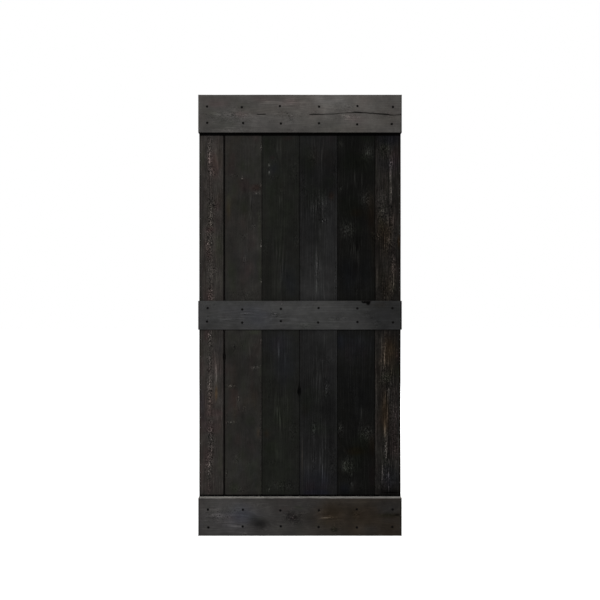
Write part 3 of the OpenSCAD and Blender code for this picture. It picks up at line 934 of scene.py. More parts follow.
def stain_cloud_group():
    """Clouds: broad noise. Specks: the highest peaks of fine noise."""
    group, given, result = new_group("Stain clouds", {"Place": "v"}, {"Cloud": "f", "Speck": "f"})
    broad = noise(group, given["Place"], CLOUDS_A_METRE, detail=5.0, roughness=0.62)
    fine = noise(group, given["Place"], SPECKS_A_METRE, detail=2.0, roughness=0.5)
    feed(group, ramp(group, broad, *CLOUD_STEP), result["Cloud"])
    feed(group, ramp(group, fine, *SPECK_STEP), result["Speck"])
    return group


# %% [markdown]
# Last, the colours. Stain is lightened or darkened in stops, since a doubling looks like an even
# step to the eye: by the tone field, the clouds, the grain, the rubbed lines and the flecks.
# Tints multiply the stain. Where rubbing has gone through it, pale wood shows. Soot, which also
# stands for painted shade, and then dust, which also stands for painted light on upper faces,
# lie over everything.

# %% Group: stained colour
TINTS = {
    "brown": (1.26, 1.00, 0.72, 1.0),
    "blue": (0.88, 0.94, 1.24, 1.0),
    "green": (0.95, 1.06, 0.89, 1.0),
    "pink": (1.13, 0.94, 0.98, 1.0),
}
FULL_TINT = 1.5
# Soot: dirt, and painted shade under the rails, in the check and in the screw holes
SOOT_AND_SHADE_COLOUR = (0.0010, 0.0009, 0.0009, 1.0)
# Dust: settled dust, and painted light on the upper faces of rails and board ends
DUST_AND_LIGHT_COLOUR = (0.380, 0.365, 0.340, 1.0)
# Stops that each mask adds, less what they come to on average
GRAIN_STOPS, GRAIN_MEAN = {"Streak": 1.0, "Line": 1.1, "Slit": -0.9}, 0.72
CLOUD_STOPS, CLOUD_MEAN = 0.40, 0.5
RIDGE_STOPS, RIDGE_MEAN = 1.5, 0.22
TORN_STOPS = {"Crest": 1.5, "Trough": -3.1}
# What stands up and gets rubbed, and how high each mask stands for the light
RIDGE_SHARES = {"Strand": 0.75, "Swell": 0.225, "Line": 0.275}
HEIGHT_SHARES = {"Streak": 0.45, "Swell": 0.45, "Slit": -0.8}
TORN_HEIGHT = 0.25
# Between which amounts of wear pale wood comes through, and how much of it at most
PALE_STEP, PALE_MOST = (0.7, 2.4), 0.8
CREST_WEAR, SPECK_WEAR = 0.45, 0.25
OVERLAY_STEP, SOOT_AND_SHADE_MOST = (0.05, 0.8), 0.97
# Dust and painted light from above: the least of it and what the clouds and streaks add
DUST_AND_LIGHT_LEAST, DUST_AND_LIGHT_SHARES = 0.55, {"Cloud": 0.35, "Streak": 0.25}


def stained_colour_group():
    """Stain times the tints times two to the power of the stops, then mixed towards pale wood,
    soot with painted shade, and dust with painted light on upper faces."""
    floats = ["Tone", "Warm", "Green", "Rub", "Fleck", "Sootshade", "Dustlight", "Grain", "Line", "Swell",
              "Strand", "Streak", "Slit", "Crest", "Trough", "Cloud", "Speck"]
    group, given, result = new_group(
        "Stained colour", {"Stain": "c", "Pale": "c", **{name: "f" for name in floats}},
        {"Colour": "c", "Pale Mask": "f", "Height": "f"})

    def add_product(first, second, rest):
        return maths(group, "MULTIPLY_ADD", first, second, rest)

    grain = weighted(group, given, -GRAIN_MEAN, GRAIN_STOPS)
    ridge = weighted(group, given, 0.0, RIDGE_SHARES)
    torn = weighted(group, given, 0.0, TORN_STOPS)
    rubbed = add_product(ridge, RIDGE_STOPS, -RIDGE_STOPS * RIDGE_MEAN)
    stops = weighted(group, given, -CLOUD_STOPS * CLOUD_MEAN, {"Tone": 1.0, "Cloud": CLOUD_STOPS})
    for mask, amount in ((grain, "Grain"), (rubbed, "Rub"), (torn, "Fleck")):
        stops = add_product(mask, given[amount], stops)

    colour = given["Stain"]
    for name, field, way in (("brown", "Warm", 1), ("blue", "Warm", -1),
                             ("green", "Green", 1), ("pink", "Green", -1)):
        amount = ramp(group, given[field], 0.0, FULL_TINT * way)
        colour = blend_colours(group, amount, colour, TINTS[name], "MULTIPLY")
    colour = blend_colours(group, 1.0, colour, maths(group, "POWER", 2.0, stops), "MULTIPLY")

    through = maths(group, "MULTIPLY", ridge, given["Rub"])
    through = add_product(maths(group, "MULTIPLY", given["Crest"], given["Fleck"]), CREST_WEAR, through)
    mask = ramp(group, through, *PALE_STEP, 0.0, PALE_MOST)
    mask = maths(group, "MULTIPLY_ADD", given["Speck"], SPECK_WEAR, mask, clamp=True)
    colour = blend_colours(group, mask, colour, given["Pale"])
    # Soot and painted shade over the stain, then dust and painted light on upper faces
    sootshade_amount = ramp(group, given["Sootshade"], *OVERLAY_STEP, 0.0, SOOT_AND_SHADE_MOST)
    colour = blend_colours(group, sootshade_amount, colour, SOOT_AND_SHADE_COLOUR)
    dustlight = weighted(group, given, DUST_AND_LIGHT_LEAST, DUST_AND_LIGHT_SHARES)
    dustlight = maths(group, "MULTIPLY", dustlight, ramp(group, given["Dustlight"], *OVERLAY_STEP))
    colour = blend_colours(group, maths(group, "MINIMUM", dustlight, 1.0), colour, DUST_AND_LIGHT_COLOUR)
    height = add_product(torn, maths(group, "MULTIPLY", given["Fleck"], TORN_HEIGHT),
                         weighted(group, given, 0.0, HEIGHT_SHARES))
    feed(group, colour, result["Colour"])
    feed(group, mask, result["Pale Mask"])
    feed(group, height, result["Height"])
    return group


RING_LINES = ring_line_group()
FIBRES = fibre_group()
TORN_FLECKS = fleck_group()
STAIN_CLOUDS = stain_cloud_group()
STAINED_COLOUR = stained_colour_group()
print("groups:", [group.name for group in bpy.data.node_groups])

# %% [markdown]
# ## The stained wood material
# One function places the five groups in a material and gives them the plank's values. Fibre
# coordinates are the door's own, squeezed over twenty to one across the grain, and fleck
# coordinates nearly two to one. Each plank starts at a different place in the noise.
# The wood is nearly matt: black stain takes the shine off.

# %% Stained wood
FIBRE_SQUEEZE = (250.0, 250.0, 11.0)
FLECK_SQUEEZE = (260.0, 260.0, 140.0)
STAIN_ROUGHNESS, PALE_ROUGHER, STREAK_ROUGHER = 0.66, 0.12, 0.10
STAIN_SPECULAR = 0.015
BUMP_STRENGTH, BUMP_HEIGHT = 0.55, 0.5 * MM


def place_group(tree, group, **sources):
    """A group node with its inputs fed. An underscore in a name stands for a space."""
    node = new_node(tree, "ShaderNodeGroup", node_tree=group)
    for key, source in sources.items():
        feed(tree, source, node.inputs[key.replace("_", " ")])
    return node.outputs


def rgba(colour):
    """Red, green and blue with full alpha."""
    return (*colour, 1.0)


def stained_wood(name, plank, seed, grain_up):
    """Material of one plank. grain_up says whether its grain runs up or across. An input of the
    colour group takes the field or the mask that bears its name."""
    material, tree, shader = new_material(name)
    door_place = new_node(tree, "ShaderNodeTexCoord").outputs["Object"]

    def squeezed(scale):
        """Door coordinates stretched across the grain more than along it."""
        node = new_node(tree, "ShaderNodeMapping", _Location=(seed, 2 * seed, 3 * seed),
                        _Scale=scale if grain_up else scale[::-1])
        feed(tree, door_place, node.inputs["Vector"])
        return node.outputs["Vector"]

    def field(key):
        return new_node(tree, "ShaderNodeAttribute", attribute_name=key).outputs["Fac"]

    fibre_place = squeezed(FIBRE_SQUEEZE)
    masks = {}
    for outputs in (place_group(tree, RING_LINES, Ring=field("ring"), Fibre_Place=fibre_place),
                    place_group(tree, FIBRES, Fibre_Place=fibre_place),
                    place_group(tree, TORN_FLECKS, Fleck_Place=squeezed(FLECK_SQUEEZE)),
                    place_group(tree, STAIN_CLOUDS, Place=door_place)):
        masks.update({output.name: output for output in outputs})
    for key in ("tone", "warm", "green", "rub", "fleck", "sootshade", "dustlight"):
        masks[key.capitalize()] = field(key)
    look = place_group(tree, STAINED_COLOUR, Stain=rgba(plank["stain"]), Pale=rgba(plank["pale"]),
                       Grain=plank["grain"], **masks)
    feed(tree, look["Colour"], shader.inputs["Base Color"])

    rough = maths(tree, "MULTIPLY_ADD", look["Pale Mask"], PALE_ROUGHER, STAIN_ROUGHNESS)
    rough = maths(tree, "MULTIPLY_ADD", masks["Streak"], STREAK_ROUGHER, rough)
    feed(tree, rough, shader.inputs["Roughness"])
    shader.inputs["Specular IOR Level"].default_value = STAIN_SPECULAR
    bump = new_node(tree, "ShaderNodeBump", _Strength=BUMP_STRENGTH, _Distance=BUMP_HEIGHT)
    feed(tree, look["Height"], bump.inputs["Height"])
    feed(tree, bump.outputs["Normal"], shader.inputs["Normal"])
    return material


# %% [markdown]
# ## The boards
# Each board's place comes from its CAD node. The board runs to the next board's edge less the
# gap between them, because the node's own box also holds the tongue. The bevels meet over each
# joint in a V, which shows as a dark line. The outer edges of the door are only eased.

# %% Boards
BOARD_GAP = 1.0 * MM
V_BEVEL = 2.5 * MM
ARRIS = 1.0 * MM
TONGUE = 7.0 * MM
TONGUE_THICK = 5.0 * MM
TONGUE_PLAY = 0.2 * MM
TIP_PLAY = 0.6 * MM
# Squares of the section: the rows level with the tongue, and the columns of the groove
TONGUE_ROWS = slice(2, 4)
GROOVE_COLUMNS = 3
FACE_STEP = 2.3 * MM
ROW_STEP = 8.0 * MM
# How far a corner point is drawn back, as a share of a bevel that is cut or of a rounded edge
CUT_SHARE, ROUND_SHARE = 0.5, 1 - math.sqrt(0.5)
# Share of the dirt that many millimetres from a joint
JOINT_DIRT = {0.0: 1.0, 3.0: 0.6, 7.0: 0.0}
# The side of each rail that gets painted shade on the boards, 0 below or 1 above, and its darkness
SHADED_SIDES = {"top_rail": (0, 1.9), "middle_rail": (0, 0.2), "bottom_rail": (1, 1.5)}
SHADED_STRIP = 11.0 * MM
# Rows of the mesh in a shaded strip, as shares of it, and how far other rows keep off them
STRIP_ROWS, ROWS_APART = (-0.1, 0.2, 0.6, 1.0), 0.2
# How deep behind a face its wear, dirt and painted shade reach
FRONT_SKIN, BACK_SKIN, SIDE_SKIN = 3 * MM, 1.5 * MM, 0.1 * MM
EDGE_REACH = 2 * MM
OUTER_EDGE_WEAR = 0.35
BOARD_END_FADE = 12 * MM
# Dust and painted light from above on the boards' top ends
END_DUST_AND_LIGHT = 0.8
# Rings to a step of the mesh at which their relief has dropped to about a third
RINGS_A_STEP = 0.30


def board_section(width, thick, grooved, tongued):
    """Grid of a board's section. Corner points are drawn back: by half the bevel to cut it flat,
    or by 0.29 of an eased edge to round it."""
    left = V_BEVEL if grooved else ARRIS
    right = V_BEVEL if tongued else ARRIS
    groove = TONGUE - BOARD_GAP + TIP_PLAY
    inner = np.linspace(groove, width - right, int((width - groove - right) / FACE_STEP))
    a = np.concatenate([[0, left, 0.5 * (left + groove)], inner, [width]])
    if tongued:
        a = np.concatenate([a, [width + 0.5 * TONGUE, width + TONGUE]])
    tongue_low = 0.5 * (thick - TONGUE_THICK)
    d = np.array([0, max(left, right), tongue_low, 0.5 * thick, thick - tongue_low, thick - ARRIS, thick])
    across, through = np.meshgrid(a, d, indexing="ij")

    kept = np.ones((a.size - 1, d.size - 1), bool)
    edge_line = a.size - 3 if tongued else a.size - 1
    if tongued:
        kept[edge_line:] = False
        kept[edge_line:, TONGUE_ROWS] = True
    if grooved:
        kept[:GROOVE_COLUMNS, TONGUE_ROWS] = False
        through[: GROOVE_COLUMNS + 1, TONGUE_ROWS.start] -= TONGUE_PLAY
        through[: GROOVE_COLUMNS + 1, TONGUE_ROWS.stop] += TONGUE_PLAY
    for line, bevel, jointed, way in ((0, left, grooved, 1), (edge_line, right, tongued, -1)):
        back = (CUT_SHARE if jointed else ROUND_SHARE) * bevel
        across[line, 0] += way * back
        through[line, 0] += back
        through[line, 1] = bevel
        across[line, -1] += way * ROUND_SHARE * ARRIS
        through[line, -1] -= ROUND_SHARE * ARRIS
    return across, through, kept


def joint_dirt(a, d, width, strengths):
    """Dirt along the front's two edges: full on the very edge and gone 7 mm in."""
    reach, amount = np.array(list(JOINT_DIRT)) * MM, list(JOINT_DIRT.values())
    left, right = (strength * np.interp(side, reach, amount)
                   for strength, side in zip(strengths, (a, width - a)))
    return (left + right) * (d < FRONT_SKIN)


def shaded_line(rail):
    """Height of a rail's shaded side above the boards' foot, and which way its painted shade spreads."""
    side = SHADED_SIDES[rail][0]
    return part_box(rail)[side].z - DOOR_LOW[2], 1 if side else -1


def rows_by_rails(length):
    """Row places along a board: even ones, and some more in each shaded strip."""
    extra = []
    for height, way in map(shaded_line, SHADED_SIDES):
        extra += [height + way * share * SHADED_STRIP for share in STRIP_ROWS]
    extra = np.array(extra)
    even = np.linspace(0, length, int(length / ROW_STEP) + 1)
    even = even[np.abs(even[:, None] - extra).min(1) > ROWS_APART * ROW_STEP]
    return np.sort(np.concatenate([even, extra]))


def rail_shade(d, l):
    """Painted shade beside each rail: a contact shadow under the top and middle rails, and darkening in
    the corner above the bottom rail. It fades out 11 mm away.
    """
    total = np.zeros_like(l)
    for rail, (_, strength) in SHADED_SIDES.items():
        height, way = shaded_line(rail)
        away = (l - height) / SHADED_STRIP * way
        total += strength * smooth(1.1 * (1 - away)) * (away > -0.5) * (away < 1)
    return total * (d < FRONT_SKIN)


def edge_closeness(a, d, width, thick):
    """One on a long edge of the front or the back: e to the minus of the distance over 2 mm."""
    side = np.clip(np.minimum(a, width - a), 0, None)
    face = np.clip(np.minimum(d, thick - d), 0, None)
    return np.exp(-side / EDGE_REACH) * np.exp(-face / EDGE_REACH)


def ring_spacing(a, d, plank):
    """How well the mesh can carry the rings: one where a ring is many steps wide."""
    heart_a, heart_d = np.array(plank["heart"]) * MM
    side = np.abs(a - heart_a)
    per_step = side / np.hypot(side, d - heart_d) * FACE_STEP / (plank["ring"] * MM)
    return np.exp(-((per_step / RINGS_A_STEP) ** 2))


def end_fade(l, length, reach):
    """One within a plank, falling to nought on its two ends."""
    return np.clip(np.minimum(l, length - l) / reach, 0, 1)


def build_board(index, name):
    """Sweeps a board, works out its fields, sinks its points by the relief and makes its piece."""
    plank = PLANKS[name]
    seed = 100 + 10 * index
    box_low, box_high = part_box(name)
    first, last = index == 0, index == len(BOARDS) - 1
    right = box_high.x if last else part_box(BOARDS[index + 1])[0].x - BOARD_GAP
    width, thick, length = right - box_low.x, box_high.y - box_low.y, box_high.z - box_low.z
    across, through, kept = board_section(width, thick, not first, not last)
    points, quads, inward, _ = swept_plank(across, through, kept, rows_by_rails(length))

    a, d, l = points.T
    fields = finish_fields(a, d, l, plank, seed, np.clip(1 - d / thick, 0, 1) ** 2)
    shown = (d < FRONT_SKIN) | (d > thick - BACK_SKIN)
    shown |= (a < SIDE_SKIN) & first | (a > width - SIDE_SKIN) & last
    outer = (a < 0.5 * width) & first | (a > 0.5 * width) & last
    edge = edge_closeness(a, d, width, thick) * np.where(outer, OUTER_EDGE_WEAR, 1.0)
    depth = relief(a, d, l, fields["ring"], fields["sootshade"], edge, ring_spacing(a, d, plank), seed)
    depth *= shown * end_fade(l, length, BOARD_END_FADE)
    # Soot on the boards: dirt along the joints, and painted shade in the strip beside each rail
    fields["sootshade"] += joint_dirt(a, d, width, plank["joints"]) + rail_shade(d, l)
    # Dust and painted light from above on the board's top end
    fields["dustlight"] += END_DUST_AND_LIGHT * (l > length - SIDE_SKIN)
    points[:, :2] += inward * depth[:, None]
    points += np.array(box_low)
    material = stained_wood(name.replace("_", " ") + " stain", plank, seed, True)
    make_piece(name + "_wood", points, quads, NO_TRIANGLES, fields, material, name)


for index, name in enumerate(BOARDS):
    build_board(index, name)

# %% [markdown]
# ## The screws
# Thirty-six black screws hold the rails. Each is a surface of revolution with two liberties: a
# cross is pressed into the head, and a ridge climbs the shank as a helix. Their places are read
# from the CAD nodes. Each was driven by hand, so each cross stands at its own angle.

# %% Screws
SCREW_SIDES = 32
HEAD_RADIUS = 4.75 * MM
SHANK_RADIUS = 2.1 * MM
CORE_RADIUS = 1.45 * MM
THREAD_PITCH = 2.4 * MM
POINT_LENGTH = 6.0 * MM
HEAD_CONE = 82
HEAD_RIM = 0.4 * MM
SLOT_HALF = 0.6 * MM
SLOT_REACH = 2.6 * MM
SLOT_DEPTH = 1.8 * MM
CONE_HEIGHT = (HEAD_RADIUS - SHANK_RADIUS) / math.tan(math.radians(HEAD_CONE / 2))
# Radii of the head's rings of points, close together where the cross is pressed in
HEAD_RINGS = np.array([0.35, 0.6, 0.9, 1.3, 1.8, 2.4, 3.0, 3.8]) * MM
HEAD_EASE = 0.15 * MM
THREAD_RISE = SHANK_RADIUS - CORE_RADIUS
THREAD_RUN_IN = 3 * MM
THREAD_SHARPNESS = 4.5
POINT_SHARE = 0.12
SCREW_BLACK = (0.0010, 0.0010, 0.0010)
SCREW_GRIME = (0.0035, 0.0030, 0.0030)
GRIME_A_METRE, GRIME_STEP = 900.0, (0.4, 0.65)
SCREW_ROUGHNESS, SCREW_SPECULAR = (0.45, 0.70), 0.04


def screw_surface(length):
    """Rows of (radius, depth) from the middle of the head to the point, turned round the axis.
    Head: a pressed cross. Shank: core radius plus a ridge where depth over pitch less angle over
    a turn comes near a whole number and a half."""
    turn = np.arange(SCREW_SIDES) / SCREW_SIDES * 2 * np.pi
    neck = HEAD_RIM + CONE_HEIGHT
    shank_y = np.arange(neck, length, THREAD_PITCH / 4)
    radius = np.concatenate([HEAD_RINGS, [HEAD_RADIUS - HEAD_EASE, HEAD_RADIUS, HEAD_RADIUS],
                             np.full(shank_y.size, CORE_RADIUS), [CORE_RADIUS * 0.2]])
    depth = np.concatenate([np.zeros(HEAD_RINGS.size), [0, 0.8 * HEAD_EASE, HEAD_RIM], shank_y, [length]])
    r, y, t = np.broadcast_arrays(radius[:, None], depth[:, None], turn)
    row = np.arange(radius.size)[:, None]

    x, z = np.abs(r * np.cos(t)), np.abs(r * np.sin(t))
    arm = np.maximum(smooth(1.5 - x / SLOT_HALF) * smooth((SLOT_REACH - z) / SLOT_HALF),
                     smooth(1.5 - z / SLOT_HALF) * smooth((SLOT_REACH - x) / SLOT_HALF))
    floor = SLOT_DEPTH * np.clip(1.15 - r / (SLOT_REACH * 1.3), 0, 1)
    y = y + (row < HEAD_RINGS.size) * arm * floor

    phase = (y / THREAD_PITCH - t / (2 * np.pi)) % 1
    ridge = np.clip(1 - np.abs(phase - 0.5) * THREAD_SHARPNESS, 0, 1)
    taper = np.clip((length - y) / POINT_LENGTH, POINT_SHARE, 1)
    starts = smooth((y - neck) / THREAD_RUN_IN)
    shank_r = taper * (r + THREAD_RISE * (ridge * starts + 1 - starts))
    r = np.where(row >= HEAD_RINGS.size + 3, shank_r, r)
    ring = np.stack([r * np.cos(t), y, r * np.sin(t)], -1)
    centre_top = ring[0, :, 1].max()
    points = np.concatenate([ring.reshape(-1, 3), [[0, centre_top, 0], [0, length, 0]]])

    number = np.arange(r.size).reshape(r.shape)
    after = np.roll(number, -1, 1)
    quads = np.stack([number[:-1], number[1:], after[1:], after[:-1]], -1).reshape(-1, 4)
    top = np.stack([np.full(SCREW_SIDES, r.size), number[0], after[0]], -1)
    tip = np.stack([np.full(SCREW_SIDES, r.size + 1), after[-1], number[-1]], -1)
    return points, quads, np.concatenate([top, tip])


def screw_places(node):
    """Centres (x, z) of a node's screws. The first rim point left and all that lie within a
    head's width of it are one screw."""
    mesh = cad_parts[node].data
    co = np.zeros(3 * len(mesh.vertices))
    mesh.vertices.foreach_get("co", co)
    co = co.reshape(-1, 3)
    rims = co[co[:, 1] < co[:, 1].min() + 0.2 * MM][:, [0, 2]]
    places = []
    while len(rims):
        mine = np.linalg.norm(rims - rims[0], axis=1) < 2.2 * HEAD_RADIUS
        places.append(0.5 * (rims[mine].min(0) + rims[mine].max(0)))
        rims = rims[~mine]
    return np.array(places)


def screw_material():
    """Black-coated steel: nearly black, half matt, with a little grime that roughens it in patches."""
    material, tree, shader = new_material("black screw")
    place = new_node(tree, "ShaderNodeTexCoord").outputs["Object"]
    grime = noise(tree, place, GRIME_A_METRE)
    colour = blend_colours(tree, ramp(tree, grime, *GRIME_STEP), rgba(SCREW_BLACK), rgba(SCREW_GRIME))
    feed(tree, colour, shader.inputs["Base Color"])
    feed(tree, ramp(tree, grime, 0.3, 0.7, *SCREW_ROUGHNESS), shader.inputs["Roughness"])
    shader.inputs["Specular IOR Level"].default_value = SCREW_SPECULAR
    return material


BLACK_SCREW = screw_material()
SCREW_PLACES = {}
for index, rail in enumerate(RAILS):
    node = rail + "_screws"
    box_low, box_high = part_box(node)
    shape, quads, triangles = screw_surface(box_high.y - box_low.y)
    places = screw_places(node)
    SCREW_PLACES[rail] = places
    angles = np.random.default_rng(70 + index).uniform(0, 2 * np.pi, len(places))
    cos, sin = np.cos(angles)[:, None], np.sin(angles)[:, None]
    x = places[:, :1] + cos * shape[:, 0] - sin * shape[:, 2]
    z = places[:, 1:] + sin * shape[:, 0] + cos * shape[:, 2]
    y = box_low.y + np.broadcast_to(shape[:, 1], x.shape)
    points = np.stack([x, y, z], -1).reshape(-1, 3)
    shift = (np.arange(len(places)) * len(shape))[:, None, None]
    make_piece(node + "_threaded", points, (quads + shift).reshape(-1, 4),
               (triangles + shift).reshape(-1, 3), {}, BLACK_SCREW, node)

# %% [markdown]
# ## The rails
# A rail is a plain rectangle with eased edges, swept across the door. Round each screw a block
# of the front's squares is taken out. Its border has as many points as a ring of spokes, so
# rings of points lead from the square border in to a round rim, over the lip of the
# countersink and down its cone to a closed floor under the head.

# %% Rails
RAIL_ARRIS = 1.5 * MM
CORNER_REACH = 0.6 * MM
RAIL_STEP = 3.0 * MM
RAIL_ROW = 3.5 * MM
RAIL_END_FADE = 6 * MM
# Depths of the lines inside a rail's section, as shares of its thickness
INNER_LINES = (0.35, 0.68)
# A pocket takes out this many squares each way from its screw
POCKET_CELLS = 3
POCKET_PLAY = 0.12 * MM
# What is nearer to the front plane than this lies on it
HAIR = 0.01 * MM
# Painted shade in each screw's hole, running a little out over its lip
SCREW_SHADE_REACH, SCREW_SHADE_DEPTH, SCREW_SHADE_STRENGTH = 5.8 * MM, 8 * MM, 1.1
# Painted shade: every rail's underside is darkened with the soot colour
UNDERSIDE_SHADE = 1.2
# How much dust and painted light from above lie on a rail's upper face
DUST_AND_LIGHT_COVER = 0.85
CHECKED_RAIL = "top_rail"
CHECK_ACROSS = 89.5 * MM
CHECK_LINES = np.array([-3.0, -1.5, 0.0, 1.5, 3.0]) * MM
CHECK_CLEAR = 4.3 * MM
BENT_WIDTH = 12 * MM


def rail_section(height, thick, checked):
    """Grid of a rail's section, with its four long corners rounded. A checked rail has five
    lines close together where its check will open."""
    face = np.linspace(RAIL_ARRIS, height - RAIL_ARRIS, int(height / RAIL_STEP))
    if checked:
        face = face[np.abs(face - CHECK_ACROSS) > CHECK_CLEAR]
        face = np.sort(np.concatenate([face, CHECK_ACROSS + CHECK_LINES]))
    a = np.concatenate([[0], face, [height]])
    inner = [share * thick for share in INNER_LINES]
    d = np.array([0, RAIL_ARRIS, *inner, thick - RAIL_ARRIS, thick])
    across, through = np.meshgrid(a, d, indexing="ij")
    back = ROUND_SHARE * RAIL_ARRIS
    for line, way in ((0, 1), (-1, -1)):
        across[line, [0, -1]] += way * back
        through[line, 0] += back
        through[line, -1] -= back
    return across, through, np.ones((a.size - 1, d.size - 1), bool)


def pocket_profile(sunk):
    """(radius, depth) of each ring of points round a screw: a lip, the hole's wall, its cone."""
    rim = HEAD_RADIUS + POCKET_PLAY
    neck = sunk + HEAD_RIM + CONE_HEIGHT + 0.1 * MM
    return [(1.35 * rim, 0.0), (1.08 * rim, 0.03 * MM), (rim, 0.15 * MM), (rim, sunk + HEAD_RIM),
            (SHANK_RADIUS + POCKET_PLAY, neck)]


def pocket_border():
    """Steps (across, along) to each grid point on the border of a pocket's squares, in turn."""
    n = POCKET_CELLS
    side = np.arange(-n, n)
    across = np.concatenate([side, np.full(2 * n, n), -side, np.full(2 * n, -n)])
    return across, np.roll(across, 2 * n)


def cut_pockets(points, quads, inward, rim_size, rows, screws, sunk):
    """Replaces the front squares near each screw by rings of points that narrow to its hole.
    sunk is how far the heads lie below the face."""
    a_first, d_first = points[:rim_size, 0], points[:rim_size, 1]
    front = np.flatnonzero(d_first < HAIR)
    front = front[np.argsort(a_first[front])]
    along = points[: rows * rim_size : rim_size, 2]
    profile = pocket_profile(sunk)
    steps_a, steps_l = pocket_border()
    drop = np.zeros(len(quads), bool)
    all_points, all_inward, new_quads, new_triangles = [points], [inward], [], []
    count = len(points)
    centre_a, centre_d, centre_l = points[quads].mean(1).T
    for a0, l0 in screws:
        i = np.argmin(np.abs(a_first[front] - a0))
        k = np.argmin(np.abs(along - l0))
        border = (k + steps_l) * rim_size + front[i + steps_a]
        outer = points[border][:, [0, 2]]
        (low_a, low_l), (high_a, high_l) = outer.min(0), outer.max(0)
        drop |= ((centre_d < HAIR) & (centre_a > low_a) & (centre_a < high_a)
                 & (centre_l > low_l) & (centre_l < high_l))
        angle = np.arctan2(outer[:, 1] - l0, outer[:, 0] - a0)
        circle = np.stack([np.cos(angle), np.sin(angle)], 1)
        levels = [(0.5 * (outer + [a0, l0] + circle * profile[0][0]), 0.0, 1.0)]
        levels += [([a0, l0] + circle * r, y, float(y < 0.1 * MM)) for r, y in profile]
        rings = [border]
        for flat, y, follows in levels:
            all_points.append(np.stack([flat[:, 0], np.full(len(flat), y), flat[:, 1]], 1))
            all_inward.append(np.tile([0.0, follows], (len(flat), 1)))
            rings.append(count + np.arange(len(flat)))
            count += len(flat)
        for wide, narrow in zip(rings, rings[1:]):
            new_quads.append(np.stack([wide, np.roll(wide, -1), np.roll(narrow, -1), narrow], 1))
        floor = np.full(len(rings[-1]), count)
        new_triangles.append(np.stack([rings[-1], np.roll(rings[-1], -1), floor], 1))
        all_points.append(np.array([[a0, profile[-1][1], l0]]))
        all_inward.append(np.zeros((1, 2)))
        count += 1
    return (np.concatenate(all_points), np.concatenate([quads[~drop]] + new_quads),
            np.concatenate(new_triangles), np.concatenate(all_inward))


def bell(l, middle, half):
    """One at a place along, falling off evenly on both sides. Places are in millimetres."""
    return np.exp(-(((l / MM - middle) / half) ** 2))


def begins(l, place, over):
    """Nought before a place along, and one from `over` millimetres after it."""
    return smooth((l / MM - place) / over)


def check_path(l):
    """Where across the rail its check runs: nearly straight, then up round a hidden knot and
    down again, with a small shake all the way."""
    bend = (9.0 * bell(l, 765, 85) - 5.0 * bell(l, 945, 30)) * begins(l, 500, 100)
    return CHECK_ACROSS + MM * (bend + 1.2 * soft_noise(l / (18 * MM), SWAY_ROW, 5))


# The check's soot is painted shade in the open crack, strongest on its path and fading to its sides
def drying_check(a, l):
    open_here = 0.8 * begins(l, 276, 12) * (1 - begins(l, 322, 12))
    open_here += begins(l, 530, 12) * (0.70 + 0.30 * soft_noise(l / (35 * MM), SWAY_ROW, 6))
    half_width = MM * (2.6 + 0.9 * bell(l, 570, 40) + 1.3 * begins(l, 660, 100))
    return open_here * np.exp(-(((a - check_path(l)) / half_width) ** 2))


def build_rail(index, name):
    """The same for a rail, which also has its screws' pockets with painted shade in them, painted
    shade on its underside, and dust with painted light from above on top.
    """
    plank = PLANKS[name]
    seed = 300 + 10 * index
    box_low, box_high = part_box(name)
    height, thick, length = box_high.z - box_low.z, box_high.y - box_low.y, box_high.x - box_low.x
    across, through, kept = rail_section(height, thick, name == CHECKED_RAIL)
    along = np.linspace(0, length, int(length / RAIL_ROW) + 1)
    points, quads, inward, rim_size = swept_plank(across, through, kept, along)
    screws = SCREW_PLACES[name][:, ::-1] - [box_low.z, box_low.x]
    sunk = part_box(name + "_screws")[0].y - box_low.y
    points, quads, triangles, inward = cut_pockets(
        points, quads, inward, rim_size, along.size, screws, sunk)
    a, d, l = points.T
    if name == CHECKED_RAIL:
        near = np.exp(-(((a - CHECK_ACROSS) / BENT_WIDTH) ** 2)) * (d < MM)
        a += near * (check_path(l) - CHECK_ACROSS)

    fields = finish_fields(a, d, l, plank, seed, np.clip(1 - d / thick, 0, 1) ** 0.5)
    ends = np.exp(-np.minimum(l, length - l) / EDGE_REACH) * (d < EDGE_REACH)
    edge = edge_closeness(a, d, height, thick) + ends
    if name == CHECKED_RAIL:
        # Painted shade in the open check
        fields["sootshade"] += drying_check(a, l) * (d < EDGE_REACH)
    shown = (d < thick - EDGE_REACH) & (np.abs(inward).sum(1) > 0)
    depth = relief(a, d, l, fields["ring"], fields["sootshade"], np.clip(edge, 0, 1),
                   ring_spacing(a, d, plank), seed)
    depth *= shown * end_fade(l, length, RAIL_END_FADE)
    fields["rub"] += edge * wander("rubbed edge", a, l, seed, above=0)
    # Dust and painted light from above along the rail's upper face
    settled = DUST_AND_LIGHT_COVER + wander("settled dustlight", l, d, seed)
    fields["dustlight"] += plank["settled"] * settled * (a > height - CORNER_REACH) * (d < thick - MM)
    # Painted shade on the rail's underside, and dirt at its two ends
    fields["sootshade"] += UNDERSIDE_SHADE * (a < CORNER_REACH) + joint_dirt(l, d, length, plank["joints"])
    # Painted shade in each screw's hole and on its lip
    for a0, l0 in screws:
        near = np.hypot(a - a0, l - l0)
        fields["sootshade"] += SCREW_SHADE_STRENGTH * np.exp(-((near / SCREW_SHADE_REACH) ** 4)) * (d < SCREW_SHADE_DEPTH)
    points[:, :2] += inward * depth[:, None]

    place = points[:, ::-1] + np.array(box_low)
    material = stained_wood(name.replace("_", " ") + " stain", plank, seed, False)
    make_piece(name + "_wood", place, quads[:, ::-1], triangles[:, ::-1], fields, material, name)


for index, name in enumerate(RAILS):
    build_rail(index, name)
print("added", sum(piece_triangles.values()), "triangles in all")

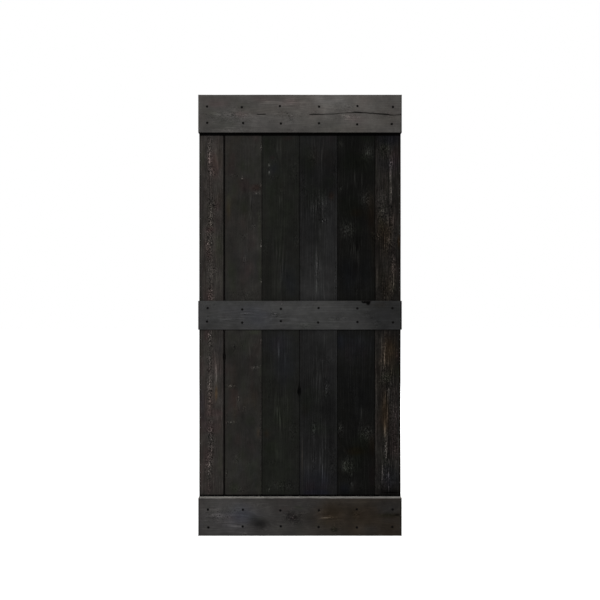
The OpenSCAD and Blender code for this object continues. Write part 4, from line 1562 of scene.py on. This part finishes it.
# %% [markdown]
# ## The studio
# The door stands on a white sheet in soft light, so that nothing but the door has any tone. A
# broad light hangs in front and above, a dimmer one behind keeps the back and the right side
# from going black, and the sky fills in from all round. The floor and the sky look white to
# the camera but throw only a little light, or they would grey the stain.

# %% Floor, sky and lamp
KEY_WATTS = 82.0
BACK_WATTS = 110.0
SKY_STRENGTH = 0.36
FLOOR_GLOW = 0.90
FLOOR_REACH = 14.0
LIT_POINT = (0.0, 0.0, 1.05)
WHITE, SHEET_WHITE = (1.0, 1.0, 1.0, 1.0), (0.80, 0.80, 0.80, 1.0)


def make_floor():
    """A flat square under the door, wide enough to pass out of view on every side."""
    mesh = bpy.data.meshes.new("floor")
    corners = [(x * FLOOR_REACH, y * FLOOR_REACH, 0) for x, y in ((-1, -1), (1, -1), (1, 1), (-1, 1))]
    mesh.from_pydata(corners, [], [(0, 1, 2, 3)])
    material, tree, shader = new_material("white floor")
    shader.inputs["Base Color"].default_value = SHEET_WHITE
    shader.inputs["Roughness"].default_value = 0.9
    shader.inputs["Specular IOR Level"].default_value = 0.0
    shader.inputs["Emission Color"].default_value = WHITE
    seen = new_node(tree, "ShaderNodeLightPath").outputs["Is Camera Ray"]
    feed(tree, maths(tree, "MULTIPLY", seen, FLOOR_GLOW), shader.inputs["Emission Strength"])
    mesh.materials.append(material)
    floor = bpy.data.objects.new("floor", mesh)
    floor.location = (0, 0, DOOR_LOW[2])
    bpy.context.scene.collection.objects.link(floor)


def make_sky():
    """White to the camera, and a dimmer even light to everything else."""
    world = bpy.data.worlds.new("sky")
    bpy.context.scene.world = world
    world.use_nodes = True
    tree = world.node_tree
    sky = tree.nodes["Background"]
    sky.inputs["Color"].default_value = WHITE
    seen = new_node(tree, "ShaderNodeLightPath").outputs["Is Camera Ray"]
    strength = maths(tree, "MULTIPLY_ADD", seen, 1.0 - SKY_STRENGTH, SKY_STRENGTH)
    feed(tree, strength, sky.inputs["Strength"])


def make_lamp(name, place, width, height, watts):
    """A soft rectangular lamp at a place, turned to face the middle of the door."""
    data = bpy.data.lights.new(name, "AREA")
    data.shape = "RECTANGLE"
    data.size, data.size_y = width, height
    data.energy = watts
    lamp = bpy.data.objects.new(name, data)
    lamp.location = place
    away = np.array(place) - LIT_POINT
    lamp.rotation_euler = (math.atan2(math.hypot(away[0], away[1]), away[2]), 0,
                           math.atan2(away[1], away[0]) + math.pi / 2)
    bpy.context.scene.collection.objects.link(lamp)


make_floor()
make_sky()
make_lamp("key", (-0.2, -3.3, 1.7), 3.0, 2.4, KEY_WATTS)
make_lamp("back fill", (1.2, 3.0, 2.2), 2.6, 2.4, BACK_WATTS)
bpy.context.scene.view_settings.view_transform = "Standard"
